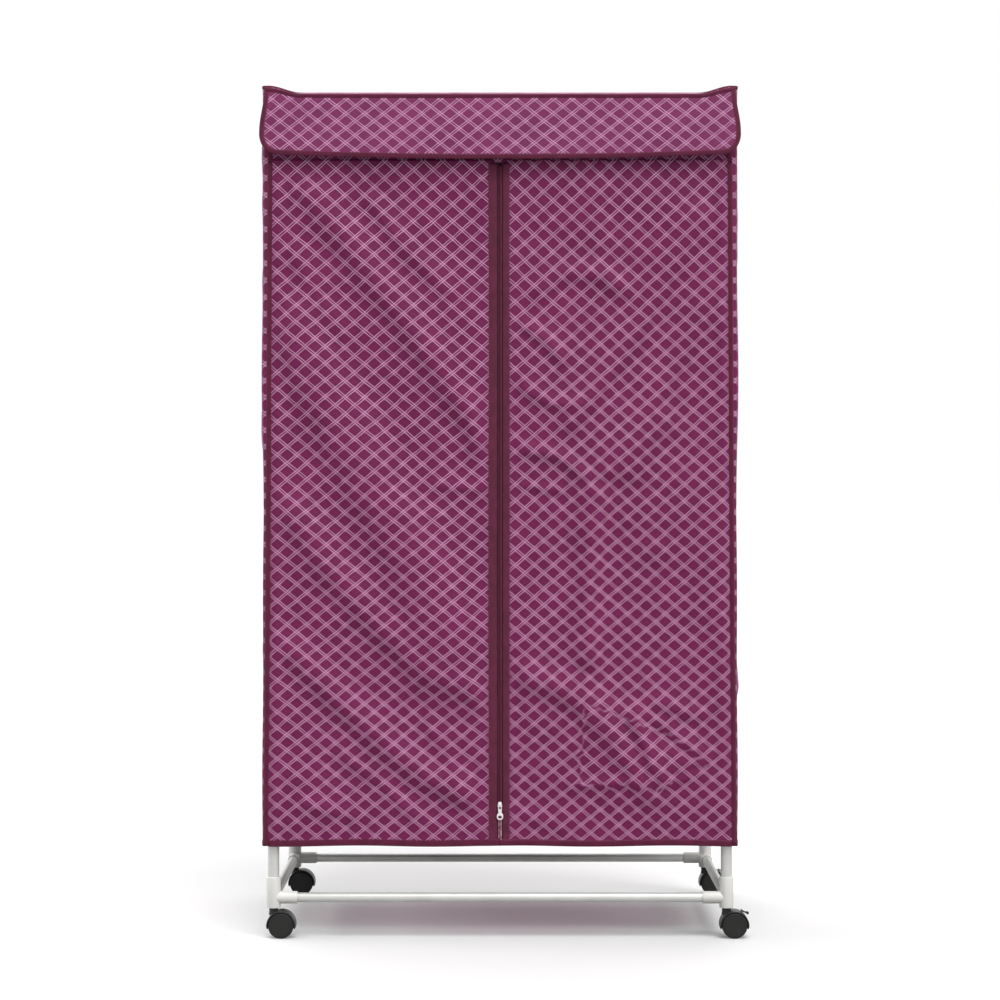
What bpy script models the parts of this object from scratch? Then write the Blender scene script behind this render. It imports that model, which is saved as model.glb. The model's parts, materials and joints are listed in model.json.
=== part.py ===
import math

import bmesh
import bpy
from mathutils import Matrix, Vector

# Portable clothes dryer: a tube frame on four casters, a wire tray with a warm air
# heater, and a fitted cloth cover with two doors closed by one zip.
# Metres, +Z up, the doors face -Y, the origin lies on the floor under the frame.

# Shared fits
FIT_GAP = 0.0003
OVERRUN = 0.004
WELD = 0.000001

# Tubes
POST_SPACING_WIDE = 0.760
POST_SPACING_DEEP = 0.440
POST_RADIUS = 0.0095
RAIL_RADIUS = 0.0080
TUBE_WALL = 0.0010
POST_LENGTH = 1.3534

# Corner connectors
CONNECTOR_WALL = 0.0020
CONNECTOR_FLOOR = 0.0080
SLEEVE_LENGTH = 0.0520
SOCKET_RISE = 0.0170
SOCKET_REACH = 0.0400
RAIL_SETBACK = 0.0010

# Middle level
MID_RISE = 0.678
MID_SLEEVE_LENGTH = 0.0360
MID_SOCKET_REACH = 0.0340

# Hanging bars
SADDLE_LENGTH = 0.0240

# Heater tray
TRAY_RISE = 0.1685
COLLAR_WALL = 0.0026
COLLAR_LENGTH = 0.0240
TRAY_EDGE_RADIUS = 0.0030
TRAY_WIRE_RADIUS = 0.0025
TRAY_WIRE_COUNT = 7

# Casters
WHEEL_RADIUS = 0.0213
WHEEL_WIDTH = 0.0133
WHEEL_CHAMFER = 0.0025
CASTER_TRAIL = 0.0130
WEB_THICKNESS = 0.0060
HOOD_CLEARANCE = 0.0012
HOOD_WALL = 0.0018
HOOD_DIP_DEG = 10
CASTER_HEIGHT = 0.0497
KINGPIN_RADIUS = 0.0065
KINGPIN_LENGTH = 0.0104
STEM_RADIUS = 0.0040
STEM_LENGTH = 0.0350
AXLE_RADIUS = 0.0030
AXLE_END_WALL = 0.0020

# Brake levers
LEVER_PIVOT_RISE = 0.0023
LEVER_PIVOT_DEG = 62
LEVER_REACH = 0.0121
LEVER_SLOPE_DEG = -25.5
LEVER_WIDTH = 0.0120
LEVER_THICKNESS = 0.0024
LEVER_PIN_RADIUS = 0.0011
LUG_RADIUS = 0.0030
LUG_WIDTH = 0.0025

# Heater
HEATER_SIDE = 0.250
HEATER_POST_CLEARANCE = 0.0110
HEATER_FRONT_CLEARANCE = 0.0020
HEATER_CORNER_RADIUS = 0.022
HEATER_EDGE_RADIUS = 0.010
HEATER_BASE_HEIGHT = 0.062
HEATER_SHELL_HEIGHT = 0.093
HEATER_BASE_WALL = 0.0040
HEATER_SHELL_WALL = 0.0025
HEATER_BASE_FLOOR = 0.0045
INTAKE_SLOT_COUNT = 6
INTAKE_SLOT_WIDTH = 0.0060
INTAKE_SLOT_LENGTH = 0.1500
GLAND_RADIUS = 0.0080
GLAND_LENGTH = 0.0120
GLAND_BORE = 0.0040
OUTLET_RADIUS = 0.0850
GRILLE_FLANGE = 0.0050
GRILLE_THICKNESS = 0.0040
GRILLE_LIP = 0.0018
GRILLE_SLOT_WIDTH = 0.0080
GRILLE_BAR_WIDTH = 0.0050
GRILLE_RIM = 0.0080
MOTOR_RADIUS = 0.0260
MOTOR_HEIGHT = 0.0280
SHAFT_RADIUS = 0.0025
SHAFT_LENGTH = 0.0120
HUB_RADIUS = 0.0170
HUB_HEIGHT = 0.0160
FAN_RADIUS = 0.0700
FAN_BLADES = 5
FAN_BLADE_WIDTH = 0.0300
FAN_BLADE_THICKNESS = 0.0020
FAN_PITCH_DEG = 24
ELEMENT_SIDE = 0.1100
ELEMENT_HEIGHT = 0.0140
ELEMENT_RIM = 0.0050
ELEMENT_FIN = 0.0020
ELEMENT_FIN_COUNT = 5
ELEMENT_ARM_WIDTH = 0.0200
ELEMENT_ARM_THICKNESS = 0.0030
KNOB_RADIUS = 0.0160
KNOB_DEPTH = 0.0100
KNOB_RIDGE = 0.0030
KNOB_SPINDLE_RADIUS = 0.0030
KNOB_DROP = 0.0500

# Cover
CLOTH = 0.0018
COVER_CLEARANCE = 0.0050
COVER_CORNER_RADIUS = 0.0050
HEM_RISE = 0.0895
EAR_SPREAD = 0.0420
SEAM_INSET_TOP = 0.0122
SEAM_INSET_FOOT = 0.0066
HEADER_DEPTH = 0.1162
SIDE_FOLD = 0.0035
SIDE_FOLD_COUNT = 3
DOOR_FOLD = 0.0080
FAN_FOCUS_RIGHT = 0.8960
FAN_FOCUS_BELOW = 0.7520
FOLD_STEP_DEG = 5.3
FOLD_FIRST_DEG = 40.7
FOLD_FADE = 0.0700
BUMP_DEPTH = 0.0080
BUMP_SPREAD_WIDE = 0.0850
BUMP_SPREAD_HIGH = 0.0500
HEM_FOLD_SHARE = 0.4
RIGHT_FOLD_SHARE = 0.5

# Zip
COIL_HALF_WIDTH = 0.0028
COIL_THICKNESS = 0.0030
TAPE_WIDTH = 0.0140
TAPE_THICKNESS = 0.0026
ZIP_FLAT_MARGIN = 0.0080
SEAM_FLAT_MARGIN = 0.0100
SLIDER_HALF_WIDTH = 0.0038
SLIDER_WALL = 0.0014
SLIDER_PLATE = 0.0012
SLIDER_HEIGHT = 0.0100
SLIDER_FOOT_RISE = 0.0628
STAPLE_WIDTH = 0.0020
STAPLE_SPAN = 0.0050
STAPLE_FOOT = 0.0012
STAPLE_CLEARANCE = 0.0021
STAPLE_BAR = 0.0010
PULL_LENGTH = 0.0250
PULL_TOP_HALF = 0.0031
PULL_FOOT_HALF = 0.0049
PULL_THICKNESS = 0.0010
PULL_BAR = 0.0012
PULL_WINDOW_HALF = 0.0017
PULL_WINDOW_LENGTH = 0.0052
PULL_HOLE_HALF_WIDE = 0.0018
PULL_HOLE_HALF_HIGH = 0.0024
PULL_HOLE_RISE = 0.0052

# Front flap
FLAP_OVERHANG = 0.0040
FLAP_DEPTH = 0.1095
FLAP_FLARE = 0.0120
FLAP_CORNER_RADIUS = 0.0220
FLAP_TOP_DROP = 0.0022
FLAP_WAVE = 0.0012
FLAP_WAVE_COUNT = 3

# Facets
TUBE_SIDES = 12
WHEEL_SIDES = 20
HOOD_STEPS = 12
PIN_SIDES = 8
OUTLET_SIDES = 28
DISC_SIDES = 20
CORNER_STEPS = 3
DOOR_COLUMNS = 15
DOOR_ROWS = 22
SIDE_ROWS = 9

# Where the cover's rows and columns lie, as shares of the runs they divide
EAR_FALL_SHARES = (1.0, 0.52, 0.13, 0.0)
EAR_STEP_SHARES = (0.0, 0.34, 0.68, 1.0)
ROOF_INNER_SHARES = (-0.5, 0.0, 0.5)
FLAP_ROW_SHARES = (0.0, 0.35, 0.65, 1.0)
FLAP_CORNER_DEG = (0, 30, 60, 90)
FLAP_COLUMN_SHARES = (
    -1.0, -0.86, -0.7, -0.5, -0.25, 0.0, 0.25, 0.5, 0.7, 0.86, 1.0,
)

# Sizes that follow from those above
POST_X = POST_SPACING_WIDE / 2
POST_Y = POST_SPACING_DEEP / 2
POST_BORE = POST_RADIUS + FIT_GAP
RAIL_BORE = RAIL_RADIUS + FIT_GAP
SLEEVE_RADIUS = POST_BORE + CONNECTOR_WALL
SOCKET_RADIUS = RAIL_BORE + CONNECTOR_WALL
RAIL_END = SLEEVE_RADIUS + RAIL_SETBACK
BASE_FOOT = CASTER_HEIGHT + FIT_GAP
BASE_RAIL_LEVEL = BASE_FOOT + SOCKET_RISE
POST_FOOT = BASE_FOOT + CONNECTOR_FLOOR + FIT_GAP
POST_HEAD = POST_FOOT + POST_LENGTH
FRAME_HEAD = POST_HEAD + FIT_GAP + CONNECTOR_FLOOR
TOP_RAIL_LEVEL = FRAME_HEAD - SOCKET_RISE
MID_RAIL_LEVEL = BASE_RAIL_LEVEL + MID_RISE
TRAY_LEVEL = BASE_RAIL_LEVEL + TRAY_RISE
COVER_HALF_X = POST_X + SLEEVE_RADIUS + COVER_CLEARANCE
COVER_HALF_Y = POST_Y + SLEEVE_RADIUS + COVER_CLEARANCE
HALF_CLOTH = CLOTH / 2
ROOF_LEVEL = TOP_RAIL_LEVEL + SOCKET_RADIUS + FIT_GAP + HALF_CLOTH
EAR_RISE = FRAME_HEAD + FIT_GAP + HALF_CLOTH - ROOF_LEVEL
EAR_INNER_X = POST_X - SLEEVE_RADIUS - FIT_GAP
EAR_INNER_Y = POST_Y - SLEEVE_RADIUS - FIT_GAP
HEM_LEVEL = BASE_RAIL_LEVEL + HEM_RISE
HEADER_FOOT = ROOF_LEVEL - HEADER_DEPTH
DOOR_HEAD = HEADER_FOOT - FIT_GAP
FLAP_HEAD = ROOF_LEVEL - FLAP_TOP_DROP
FLAP_PLANE = COVER_HALF_Y + HALF_CLOTH + FIT_GAP + HALF_CLOTH
FRONT_FACE = -COVER_HALF_Y - HALF_CLOTH

CORNERS = (
    ("front_left", -1, -1),
    ("front_right", 1, -1),
    ("rear_left", -1, 1),
    ("rear_right", 1, 1),
)

# Clear the scene
for old in list(bpy.data.objects):
    bpy.data.objects.remove(old, do_unlink=True)

dryer = bpy.data.collections.new("portable_clothes_dryer")
cutters = bpy.data.collections.new("cutters")
bpy.context.scene.collection.children.link(dryer)
bpy.context.scene.collection.children.link(cutters)


def paint(name, colour, roughness, metallic=0.0):
    """One Principled material."""
    mat = bpy.data.materials.new(name)
    mat.use_nodes = True
    shader = mat.node_tree.nodes["Principled BSDF"]
    shader.inputs["Base Color"].default_value = (*colour, 1.0)
    shader.inputs["Roughness"].default_value = roughness
    shader.inputs["Metallic"].default_value = metallic
    return mat


TUBE_PAINT = paint("silver_tube", (0.60, 0.60, 0.58), 0.35, 0.6)
CONNECTOR_PLASTIC = paint("pale_grey_plastic", (0.64, 0.63, 0.61), 0.5)
WIRE_STEEL = paint("tray_wire", (0.62, 0.62, 0.62), 0.3, 0.9)
CASTER_PLASTIC = paint("dark_grey_plastic", (0.045, 0.045, 0.045), 0.5)
WHEEL_PLASTIC = paint("wheel_plastic", (0.03, 0.03, 0.03), 0.6)
HEATER_PLASTIC = paint("heater_white_plastic", (0.78, 0.78, 0.76), 0.4)
GRILLE_PLASTIC = paint("heater_grey_plastic", (0.28, 0.28, 0.29), 0.5)
MOTOR_STEEL = paint("motor_steel", (0.45, 0.45, 0.46), 0.4, 0.8)
ELEMENT_ALLOY = paint("element_alloy", (0.55, 0.55, 0.55), 0.4, 0.8)
PLUM_CLOTH = paint("plum_check_cloth", (0.19, 0.045, 0.11), 0.9)
ZIP_METAL = paint("zip_metal", (0.45, 0.43, 0.44), 0.35, 0.9)


def add(name, mesh, place=(0, 0, 0), turn=(0, 0, 0), group=None):
    """An object for a mesh, in the part's collection unless told otherwise."""
    obj = bpy.data.objects.new(name, mesh)
    obj.location = place
    obj.rotation_euler = turn
    (group or dryer).objects.link(obj)
    return obj


def as_cutter(obj):
    """Turn an object into a helper that only Booleans see."""
    for owner in list(obj.users_collection):
        owner.objects.unlink(obj)
    cutters.objects.link(obj)
    obj.hide_render = True
    obj.display_type = "WIRE"
    return obj


def finish(obj, mat, smooth=False):
    """Give an object its material and, on round pieces, smooth shading."""
    obj.data.materials.clear()
    obj.data.materials.append(mat)
    if smooth:
        obj.data.shade_smooth()
    return obj


def from_bmesh(name, shape, place=(0, 0, 0), turn=(0, 0, 0)):
    """An object from a bmesh, which is freed."""
    mesh = bpy.data.meshes.new(name)
    shape.to_mesh(mesh)
    shape.free()
    return add(name, mesh, place, turn)


AXIS_TURNS = {
    "X": Matrix.Rotation(math.pi / 2, 4, "Y"),
    "Y": Matrix.Rotation(-math.pi / 2, 4, "X"),
    "Z": Matrix.Identity(4),
}


def rods(name, rows, sides):
    """One mesh of separate round bars: rows of (centre, radius, length, axis)."""
    shape = bmesh.new()
    for centre, radius, length, axis in rows:
        bmesh.ops.create_cone(
            shape,
            cap_ends=True,
            cap_tris=False,
            segments=sides,
            radius1=radius,
            radius2=radius,
            depth=length,
            matrix=Matrix.Translation(Vector(centre)) @ AXIS_TURNS[axis],
        )
    return from_bmesh(name, shape)


def blocks(name, rows):
    """One mesh of separate boxes: rows of (centre, size)."""
    shape = bmesh.new()
    for centre, size in rows:
        bmesh.ops.create_cube(
            shape,
            size=1.0,
            matrix=Matrix.Translation(Vector(centre)) @ Matrix.Diagonal((*size, 1.0)),
        )
    return from_bmesh(name, shape)


def turned(name, outline, sides):
    """A closed or pole-to-pole outline of (radius, height), turned about Z."""
    mesh = bpy.data.meshes.new(name)
    points = [(radius, 0, height) for radius, height in outline]
    edges = [(i, i + 1) for i in range(len(points) - 1)]
    if outline[0][0] > 0:
        edges.append((len(points) - 1, 0))
    mesh.from_pydata(points, edges, [])
    obj = add(name, mesh)
    screw = obj.modifiers.new("turn", "SCREW")
    screw.axis = "Z"
    screw.steps = sides
    screw.render_steps = sides
    screw.use_merge_vertices = True
    screw.merge_threshold = WELD
    return obj


def outlined(name, loops, thickness):
    """A flat outline with any holes, in the XY plane, given its thickness along Z."""
    curve = bpy.data.curves.new(name, "CURVE")
    curve.dimensions = "2D"
    curve.fill_mode = "BOTH"
    curve.extrude = thickness / 2
    for loop in loops:
        spline = curve.splines.new("POLY")
        spline.points.add(len(loop) - 1)
        for point, (a, b) in zip(spline.points, loop):
            point.co = (a, b, 0, 1)
        spline.use_cyclic_u = True
    return add(name, curve)


def combine(obj, other, operation):
    """A Boolean on an object with another, which becomes a helper."""
    as_cutter(other)
    step = obj.modifiers.new(operation.lower(), "BOOLEAN")
    step.operation = operation
    step.solver = "EXACT"
    step.object = other
    return obj


def evaluated_mesh(obj, name, turn=None):
    """The finished mesh of an object, welded, in its own place or turned."""
    bpy.context.view_layer.update()
    graph = bpy.context.evaluated_depsgraph_get()
    mesh = bpy.data.meshes.new_from_object(obj.evaluated_get(graph))
    mesh.name = name
    mesh.transform(obj.matrix_world if turn is None else turn @ obj.matrix_world)
    shape = bmesh.new()
    shape.from_mesh(mesh)
    bmesh.ops.remove_doubles(shape, verts=shape.verts, dist=WELD)
    shape.to_mesh(mesh)
    shape.free()
    return mesh


def settle(obj):
    """Replace an object by its finished mesh, at the same place, and return it."""
    name = obj.name
    mesh = evaluated_mesh(obj, name)
    old = obj.data
    bpy.data.objects.remove(obj, do_unlink=True)
    if isinstance(old, bpy.types.Curve):
        bpy.data.curves.remove(old)
    return add(name, mesh)


def tube(name, centre, radius, length, axis):
    """A hollow round tube, open at both ends."""
    inner = radius - TUBE_WALL
    half = length / 2
    obj = turned(
        name,
        [(radius, half), (radius, -half), (inner, -half), (inner, half)],
        TUBE_SIDES,
    )
    obj.location = centre
    obj.rotation_euler = AXIS_TURNS[axis].to_euler()
    return finish(obj, TUBE_PAINT, True)


# Frame tubes
for label, sx, sy in CORNERS:
    tube(
        "post_" + label,
        (sx * POST_X, sy * POST_Y, (POST_FOOT + POST_HEAD) / 2),
        POST_RADIUS,
        POST_LENGTH,
        "Z",
    )

RAIL_LENGTH_WIDE = POST_SPACING_WIDE - RAIL_END * 2
RAIL_LENGTH_DEEP = POST_SPACING_DEEP - RAIL_END * 2
for stage, level in (("base", BASE_RAIL_LEVEL), ("top", TOP_RAIL_LEVEL)):
    for label, sy in (("front", -1), ("rear", 1)):
        tube(
            stage + "_rail_" + label,
            (0, sy * POST_Y, level),
            RAIL_RADIUS,
            RAIL_LENGTH_WIDE,
            "X",
        )
for stage, level in (
    ("base", BASE_RAIL_LEVEL),
    ("mid", MID_RAIL_LEVEL),
    ("top", TOP_RAIL_LEVEL),
):
    for label, sx in (("left", -1), ("right", 1)):
        tube(
            stage + "_rail_" + label,
            (sx * POST_X, 0, level),
            RAIL_RADIUS,
            RAIL_LENGTH_DEEP,
            "Y",
        )


def corner_connector(name, stem_bore):
    """Three-way corner: a sleeve for the post, a socket along X and one along Y.

    The origin is on the post's axis at the closed end, which points down.
    """
    socket_start = RAIL_END - FIT_GAP
    obj = rods(
        name,
        [((0, 0, SLEEVE_LENGTH / 2), SLEEVE_RADIUS, SLEEVE_LENGTH, "Z")],
        TUBE_SIDES,
    )
    for axis, step in (("X", (1, 0)), ("Y", (0, 1))):
        middle = SOCKET_REACH / 2
        arm = rods(
            name + "_arm_" + axis,
            [
                (
                    (step[0] * middle, step[1] * middle, SOCKET_RISE),
                    SOCKET_RADIUS,
                    SOCKET_REACH,
                    axis,
                )
            ],
            TUBE_SIDES,
        )
        combine(obj, arm, "UNION")
    bore_depth = SLEEVE_LENGTH - CONNECTOR_FLOOR + OVERRUN
    rows = [
        (
            (0, 0, CONNECTOR_FLOOR + bore_depth / 2),
            POST_BORE,
            bore_depth,
            "Z",
        )
    ]
    for axis, step in (("X", (1, 0)), ("Y", (0, 1))):
        length = SOCKET_REACH - socket_start + OVERRUN
        middle = socket_start + length / 2
        rows.append(
            (
                (step[0] * middle, step[1] * middle, SOCKET_RISE),
                RAIL_BORE,
                length,
                axis,
            )
        )
    combine(obj, rods(name + "_bores", rows, TUBE_SIDES), "DIFFERENCE")
    if stem_bore:
        depth = CONNECTOR_FLOOR + OVERRUN * 2
        hole = rods(
            name + "_stem_bore",
            [((0, 0, CONNECTOR_FLOOR / 2), STEM_RADIUS + FIT_GAP, depth, "Z")],
            TUBE_SIDES,
        )
        combine(obj, hole, "DIFFERENCE")
    return obj


def mid_connector(name):
    """A sleeve that the post runs through, with one socket along Y."""
    socket_start = RAIL_END - FIT_GAP
    obj = rods(
        name, [((0, 0, 0), SLEEVE_RADIUS, MID_SLEEVE_LENGTH, "Z")], TUBE_SIDES
    )
    arm = rods(
        name + "_arm",
        [((0, MID_SOCKET_REACH / 2, 0), SOCKET_RADIUS, MID_SOCKET_REACH, "Y")],
        TUBE_SIDES,
    )
    combine(obj, arm, "UNION")
    length = MID_SOCKET_REACH - socket_start + OVERRUN
    bores = rods(
        name + "_bores",
        [
            ((0, 0, 0), POST_BORE, MID_SLEEVE_LENGTH + OVERRUN, "Z"),
            ((0, socket_start + length / 2, 0), RAIL_BORE, length, "Y"),
        ],
        TUBE_SIDES,
    )
    combine(obj, bores, "DIFFERENCE")
    return obj


# The connectors of one kind share a mesh, turned or mirrored into each corner
base_pattern = corner_connector("base_pattern", True)
top_pattern = corner_connector("top_pattern", False)
mid_pattern = mid_connector("mid_pattern")
for label, sx, sy in CORNERS:
    spin = {(-1, -1): 0, (1, -1): 1, (1, 1): 2, (-1, 1): 3}[(sx, sy)]
    quarter = Matrix.Rotation(spin * math.pi / 2, 4, "Z")
    mesh = evaluated_mesh(base_pattern, "base_connector_" + label, quarter)
    obj = add(
        "base_connector_" + label, mesh, (sx * POST_X, sy * POST_Y, BASE_FOOT)
    )
    finish(obj, CONNECTOR_PLASTIC)
    flip = Matrix.Rotation(math.pi, 4, (1, 1, 0))
    mesh = evaluated_mesh(top_pattern, "top_connector_" + label, quarter @ flip)
    obj = add(
        "top_connector_" + label, mesh, (sx * POST_X, sy * POST_Y, FRAME_HEAD)
    )
    finish(obj, CONNECTOR_PLASTIC)
    half_turn = Matrix.Rotation(0 if sy < 0 else math.pi, 4, "Z")
    mesh = evaluated_mesh(mid_pattern, "mid_connector_" + label, half_turn)
    obj = add(
        "mid_connector_" + label, mesh, (sx * POST_X, sy * POST_Y, MID_RAIL_LEVEL)
    )
    finish(obj, CONNECTOR_PLASTIC)
for pattern in (base_pattern, top_pattern, mid_pattern):
    as_cutter(pattern)


def hanging_bar(name, level):
    """A tube along X whose moulded ends drop over the two side rails."""
    inner = RAIL_RADIUS - TUBE_WALL
    saddle = SOCKET_RADIUS
    obj = rods(name, [((0, 0, 0), RAIL_RADIUS, POST_SPACING_WIDE, "X")], TUBE_SIDES)
    ends = [((sx * POST_X, 0, 0), saddle, SADDLE_LENGTH, "Y") for sx in (-1, 1)]
    combine(obj, rods(name + "_saddles", ends, TUBE_SIDES), "UNION")
    core = rods(name + "_core", [((0, 0, 0), inner, POST_SPACING_WIDE, "X")], TUBE_SIDES)
    combine(obj, core, "DIFFERENCE")
    cut_length = SADDLE_LENGTH + OVERRUN
    seats = [((sx * POST_X, 0, 0), RAIL_BORE, cut_length, "Y") for sx in (-1, 1)]
    combine(obj, rods(name + "_seats", seats, TUBE_SIDES), "DIFFERENCE")
    depth = saddle + OVERRUN
    mouths = [
        ((sx * POST_X, 0, -depth / 2), (RAIL_BORE * 2, cut_length, depth))
        for sx in (-1, 1)
    ]
    combine(obj, blocks(name + "_mouths", mouths), "DIFFERENCE")
    obj.location = (0, 0, level)
    for helper in cutters.objects:
        if helper.name.startswith(name + "_"):
            helper.location = (0, 0, level)
    return finish(obj, TUBE_PAINT)


hanging_bar("mid_hanging_bar", MID_RAIL_LEVEL)
hanging_bar("top_hanging_bar", TOP_RAIL_LEVEL)

# Heater tray: edge wires between four collars, with cross wires from front to rear
edge_x = []
edge_y = []
for side in (-1, 1):
    centre = (0, side * POST_Y, TRAY_LEVEL)
    edge_x.append((centre, TRAY_EDGE_RADIUS, POST_SPACING_WIDE, "X"))
    centre = (side * POST_X, 0, TRAY_LEVEL)
    edge_y.append((centre, TRAY_EDGE_RADIUS, POST_SPACING_DEEP, "Y"))
cross = []
for i in range(TRAY_WIRE_COUNT):
    share = (i + 1) / (TRAY_WIRE_COUNT + 1)
    x = -POST_X + POST_SPACING_WIDE * share
    cross.append(((x, 0, TRAY_LEVEL), TRAY_WIRE_RADIUS, POST_SPACING_DEEP, "Y"))
collars = []
bores = []
for label, sx, sy in CORNERS:
    centre = (sx * POST_X, sy * POST_Y, TRAY_LEVEL)
    collars.append((centre, POST_BORE + COLLAR_WALL, COLLAR_LENGTH, "Z"))
    bores.append((centre, POST_BORE, COLLAR_LENGTH + OVERRUN, "Z"))
tray = rods("heater_tray", collars, TUBE_SIDES)
combine(tray, rods("tray_edges_x", edge_x, PIN_SIDES), "UNION")
combine(tray, rods("tray_edges_y", edge_y, PIN_SIDES), "UNION")
combine(tray, rods("tray_cross", cross, PIN_SIDES), "UNION")
combine(tray, rods("tray_bores", bores, TUBE_SIDES), "DIFFERENCE")
finish(tray, WIRE_STEEL)

# Casters. The local origin is on the swivel axis at floor level.
HOOD_BORE = WHEEL_RADIUS / math.cos(math.pi / WHEEL_SIDES) + HOOD_CLEARANCE
HOOD_RADIUS = HOOD_BORE + HOOD_WALL
WHEEL_INNER = WEB_THICKNESS / 2 + FIT_GAP
HOOD_HALF_WIDTH = WHEEL_INNER + WHEEL_WIDTH
LEVER_PIVOT_RADIUS = HOOD_RADIUS + LEVER_PIVOT_RISE
LEVER_PIVOT_ANGLE = math.radians(LEVER_PIVOT_DEG)
LEVER_PIVOT_X = CASTER_TRAIL + LEVER_PIVOT_RADIUS * math.cos(LEVER_PIVOT_ANGLE)
LEVER_PIVOT_Z = WHEEL_RADIUS + LEVER_PIVOT_RADIUS * math.sin(LEVER_PIVOT_ANGLE)
LUG_CENTRE = LEVER_WIDTH / 2 + FIT_GAP + LUG_WIDTH / 2


def caster_housing(name, braked):
    """Hood, web, kingpin, stem and stub axles of one twin wheel caster."""
    dip = math.radians(HOOD_DIP_DEG)
    sweep = math.pi + dip * 2
    arc = []
    for i in range(HOOD_STEPS + 1):
        angle = -dip + sweep * i / HOOD_STEPS
        arc.append((HOOD_RADIUS * math.cos(angle), HOOD_RADIUS * math.sin(angle)))
    hood = outlined(name, [arc], HOOD_HALF_WIDTH * 2)
    hood.rotation_euler = (math.pi / 2, 0, 0)
    hood.location = (CASTER_TRAIL, 0, WHEEL_RADIUS)
    hood = settle(hood)
    boss_middle = (0, 0, CASTER_HEIGHT - KINGPIN_LENGTH / 2)
    boss = rods(
        name + "_kingpin",
        [(boss_middle, KINGPIN_RADIUS, KINGPIN_LENGTH, "Z")],
        TUBE_SIDES,
    )
    combine(hood, boss, "UNION")
    stem_start = boss_middle[2]
    stem_length = STEM_LENGTH + KINGPIN_LENGTH / 2
    stem = rods(
        name + "_stem",
        [((0, 0, stem_start + stem_length / 2), STEM_RADIUS, stem_length, "Z")],
        PIN_SIDES,
    )
    combine(hood, stem, "UNION")
    well_length = HOOD_HALF_WIDTH - WEB_THICKNESS / 2 + OVERRUN
    well_middle = WEB_THICKNESS / 2 + well_length / 2
    wells = [
        ((CASTER_TRAIL, side * well_middle, WHEEL_RADIUS), HOOD_BORE, well_length, "Y")
        for side in (-1, 1)
    ]
    combine(hood, rods(name + "_wells", wells, WHEEL_SIDES), "DIFFERENCE")
    axle_length = (HOOD_HALF_WIDTH - AXLE_END_WALL - FIT_GAP) * 2
    axle = rods(
        name + "_axle",
        [((CASTER_TRAIL, 0, WHEEL_RADIUS), AXLE_RADIUS, axle_length, "Y")],
        PIN_SIDES,
    )
    combine(hood, axle, "UNION")
    if braked:
        lugs = [
            ((LEVER_PIVOT_X, side * LUG_CENTRE, LEVER_PIVOT_Z), LUG_RADIUS, LUG_WIDTH, "Y")
            for side in (-1, 1)
        ]
        combine(hood, rods(name + "_lugs", lugs, PIN_SIDES), "UNION")
        holes = [
            (
                (LEVER_PIVOT_X, side * LUG_CENTRE, LEVER_PIVOT_Z),
                LEVER_PIN_RADIUS + FIT_GAP,
                LUG_WIDTH + FIT_GAP,
                "Y",
            )
            for side in (-1, 1)
        ]
        combine(hood, rods(name + "_lug_holes", holes, PIN_SIDES), "DIFFERENCE")
    return hood


plain_pattern = caster_housing("caster_pattern", False)
braked_pattern = caster_housing("braked_caster_pattern", True)

WHEEL_OUTER_RADIUS = WHEEL_RADIUS / math.cos(math.pi / WHEEL_SIDES)
AXLE_BORE = AXLE_RADIUS + FIT_GAP
BORE_DEPTH = WHEEL_WIDTH - AXLE_END_WALL
wheel_outline = [
    (0, WHEEL_WIDTH),
    (WHEEL_OUTER_RADIUS - WHEEL_CHAMFER, WHEEL_WIDTH),
    (WHEEL_OUTER_RADIUS, WHEEL_WIDTH - WHEEL_CHAMFER),
    (WHEEL_OUTER_RADIUS, 0),
    (AXLE_BORE, 0),
    (AXLE_BORE, BORE_DEPTH),
    (0, BORE_DEPTH),
]
wheel_pattern = turned("wheel_pattern", wheel_outline, WHEEL_SIDES)
facet_down = Matrix.Rotation(math.pi / WHEEL_SIDES, 4, "Z")

lever_shape = blocks(
    "brake_lever_pattern",
    [((LEVER_REACH / 2, 0, 0), (LEVER_REACH, LEVER_WIDTH, LEVER_THICKNESS))],
)
pin_length = LUG_CENTRE * 2 + LUG_WIDTH - FIT_GAP
combine(
    lever_shape,
    rods("lever_pin", [((0, 0, 0), LEVER_PIN_RADIUS, pin_length, "Y")], PIN_SIDES),
    "UNION",
)
lever_tilt = Matrix.Rotation(math.radians(-LEVER_SLOPE_DEG), 4, "Y")

for label, sx, sy in CORNERS:
    braked = sx > 0
    pattern = braked_pattern if braked else plain_pattern
    mesh = evaluated_mesh(pattern, "caster_housing_" + label)
    obj = add("caster_housing_" + label, mesh, (sx * POST_X, sy * POST_Y, 0))
    finish(obj, CASTER_PLASTIC)
    hub_x = sx * POST_X + CASTER_TRAIL
    for side, word in ((-1, "near"), (1, "far")):
        name = "caster_wheel_" + word + "_" + label
        turn = Matrix.Rotation(-side * math.pi / 2, 4, "X") @ facet_down
        mesh = evaluated_mesh(wheel_pattern, name, turn)
        place = (hub_x, sy * POST_Y + side * WHEEL_INNER, WHEEL_RADIUS)
        finish(add(name, mesh, place), WHEEL_PLASTIC)
    if braked:
        name = "brake_lever_" + label
        mesh = evaluated_mesh(lever_shape, name, lever_tilt)
        place = (sx * POST_X + LEVER_PIVOT_X, sy * POST_Y, LEVER_PIVOT_Z)
        finish(add(name, mesh, place), CASTER_PLASTIC)
for pattern in (plain_pattern, braked_pattern, wheel_pattern, lever_shape):
    as_cutter(pattern)

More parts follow.
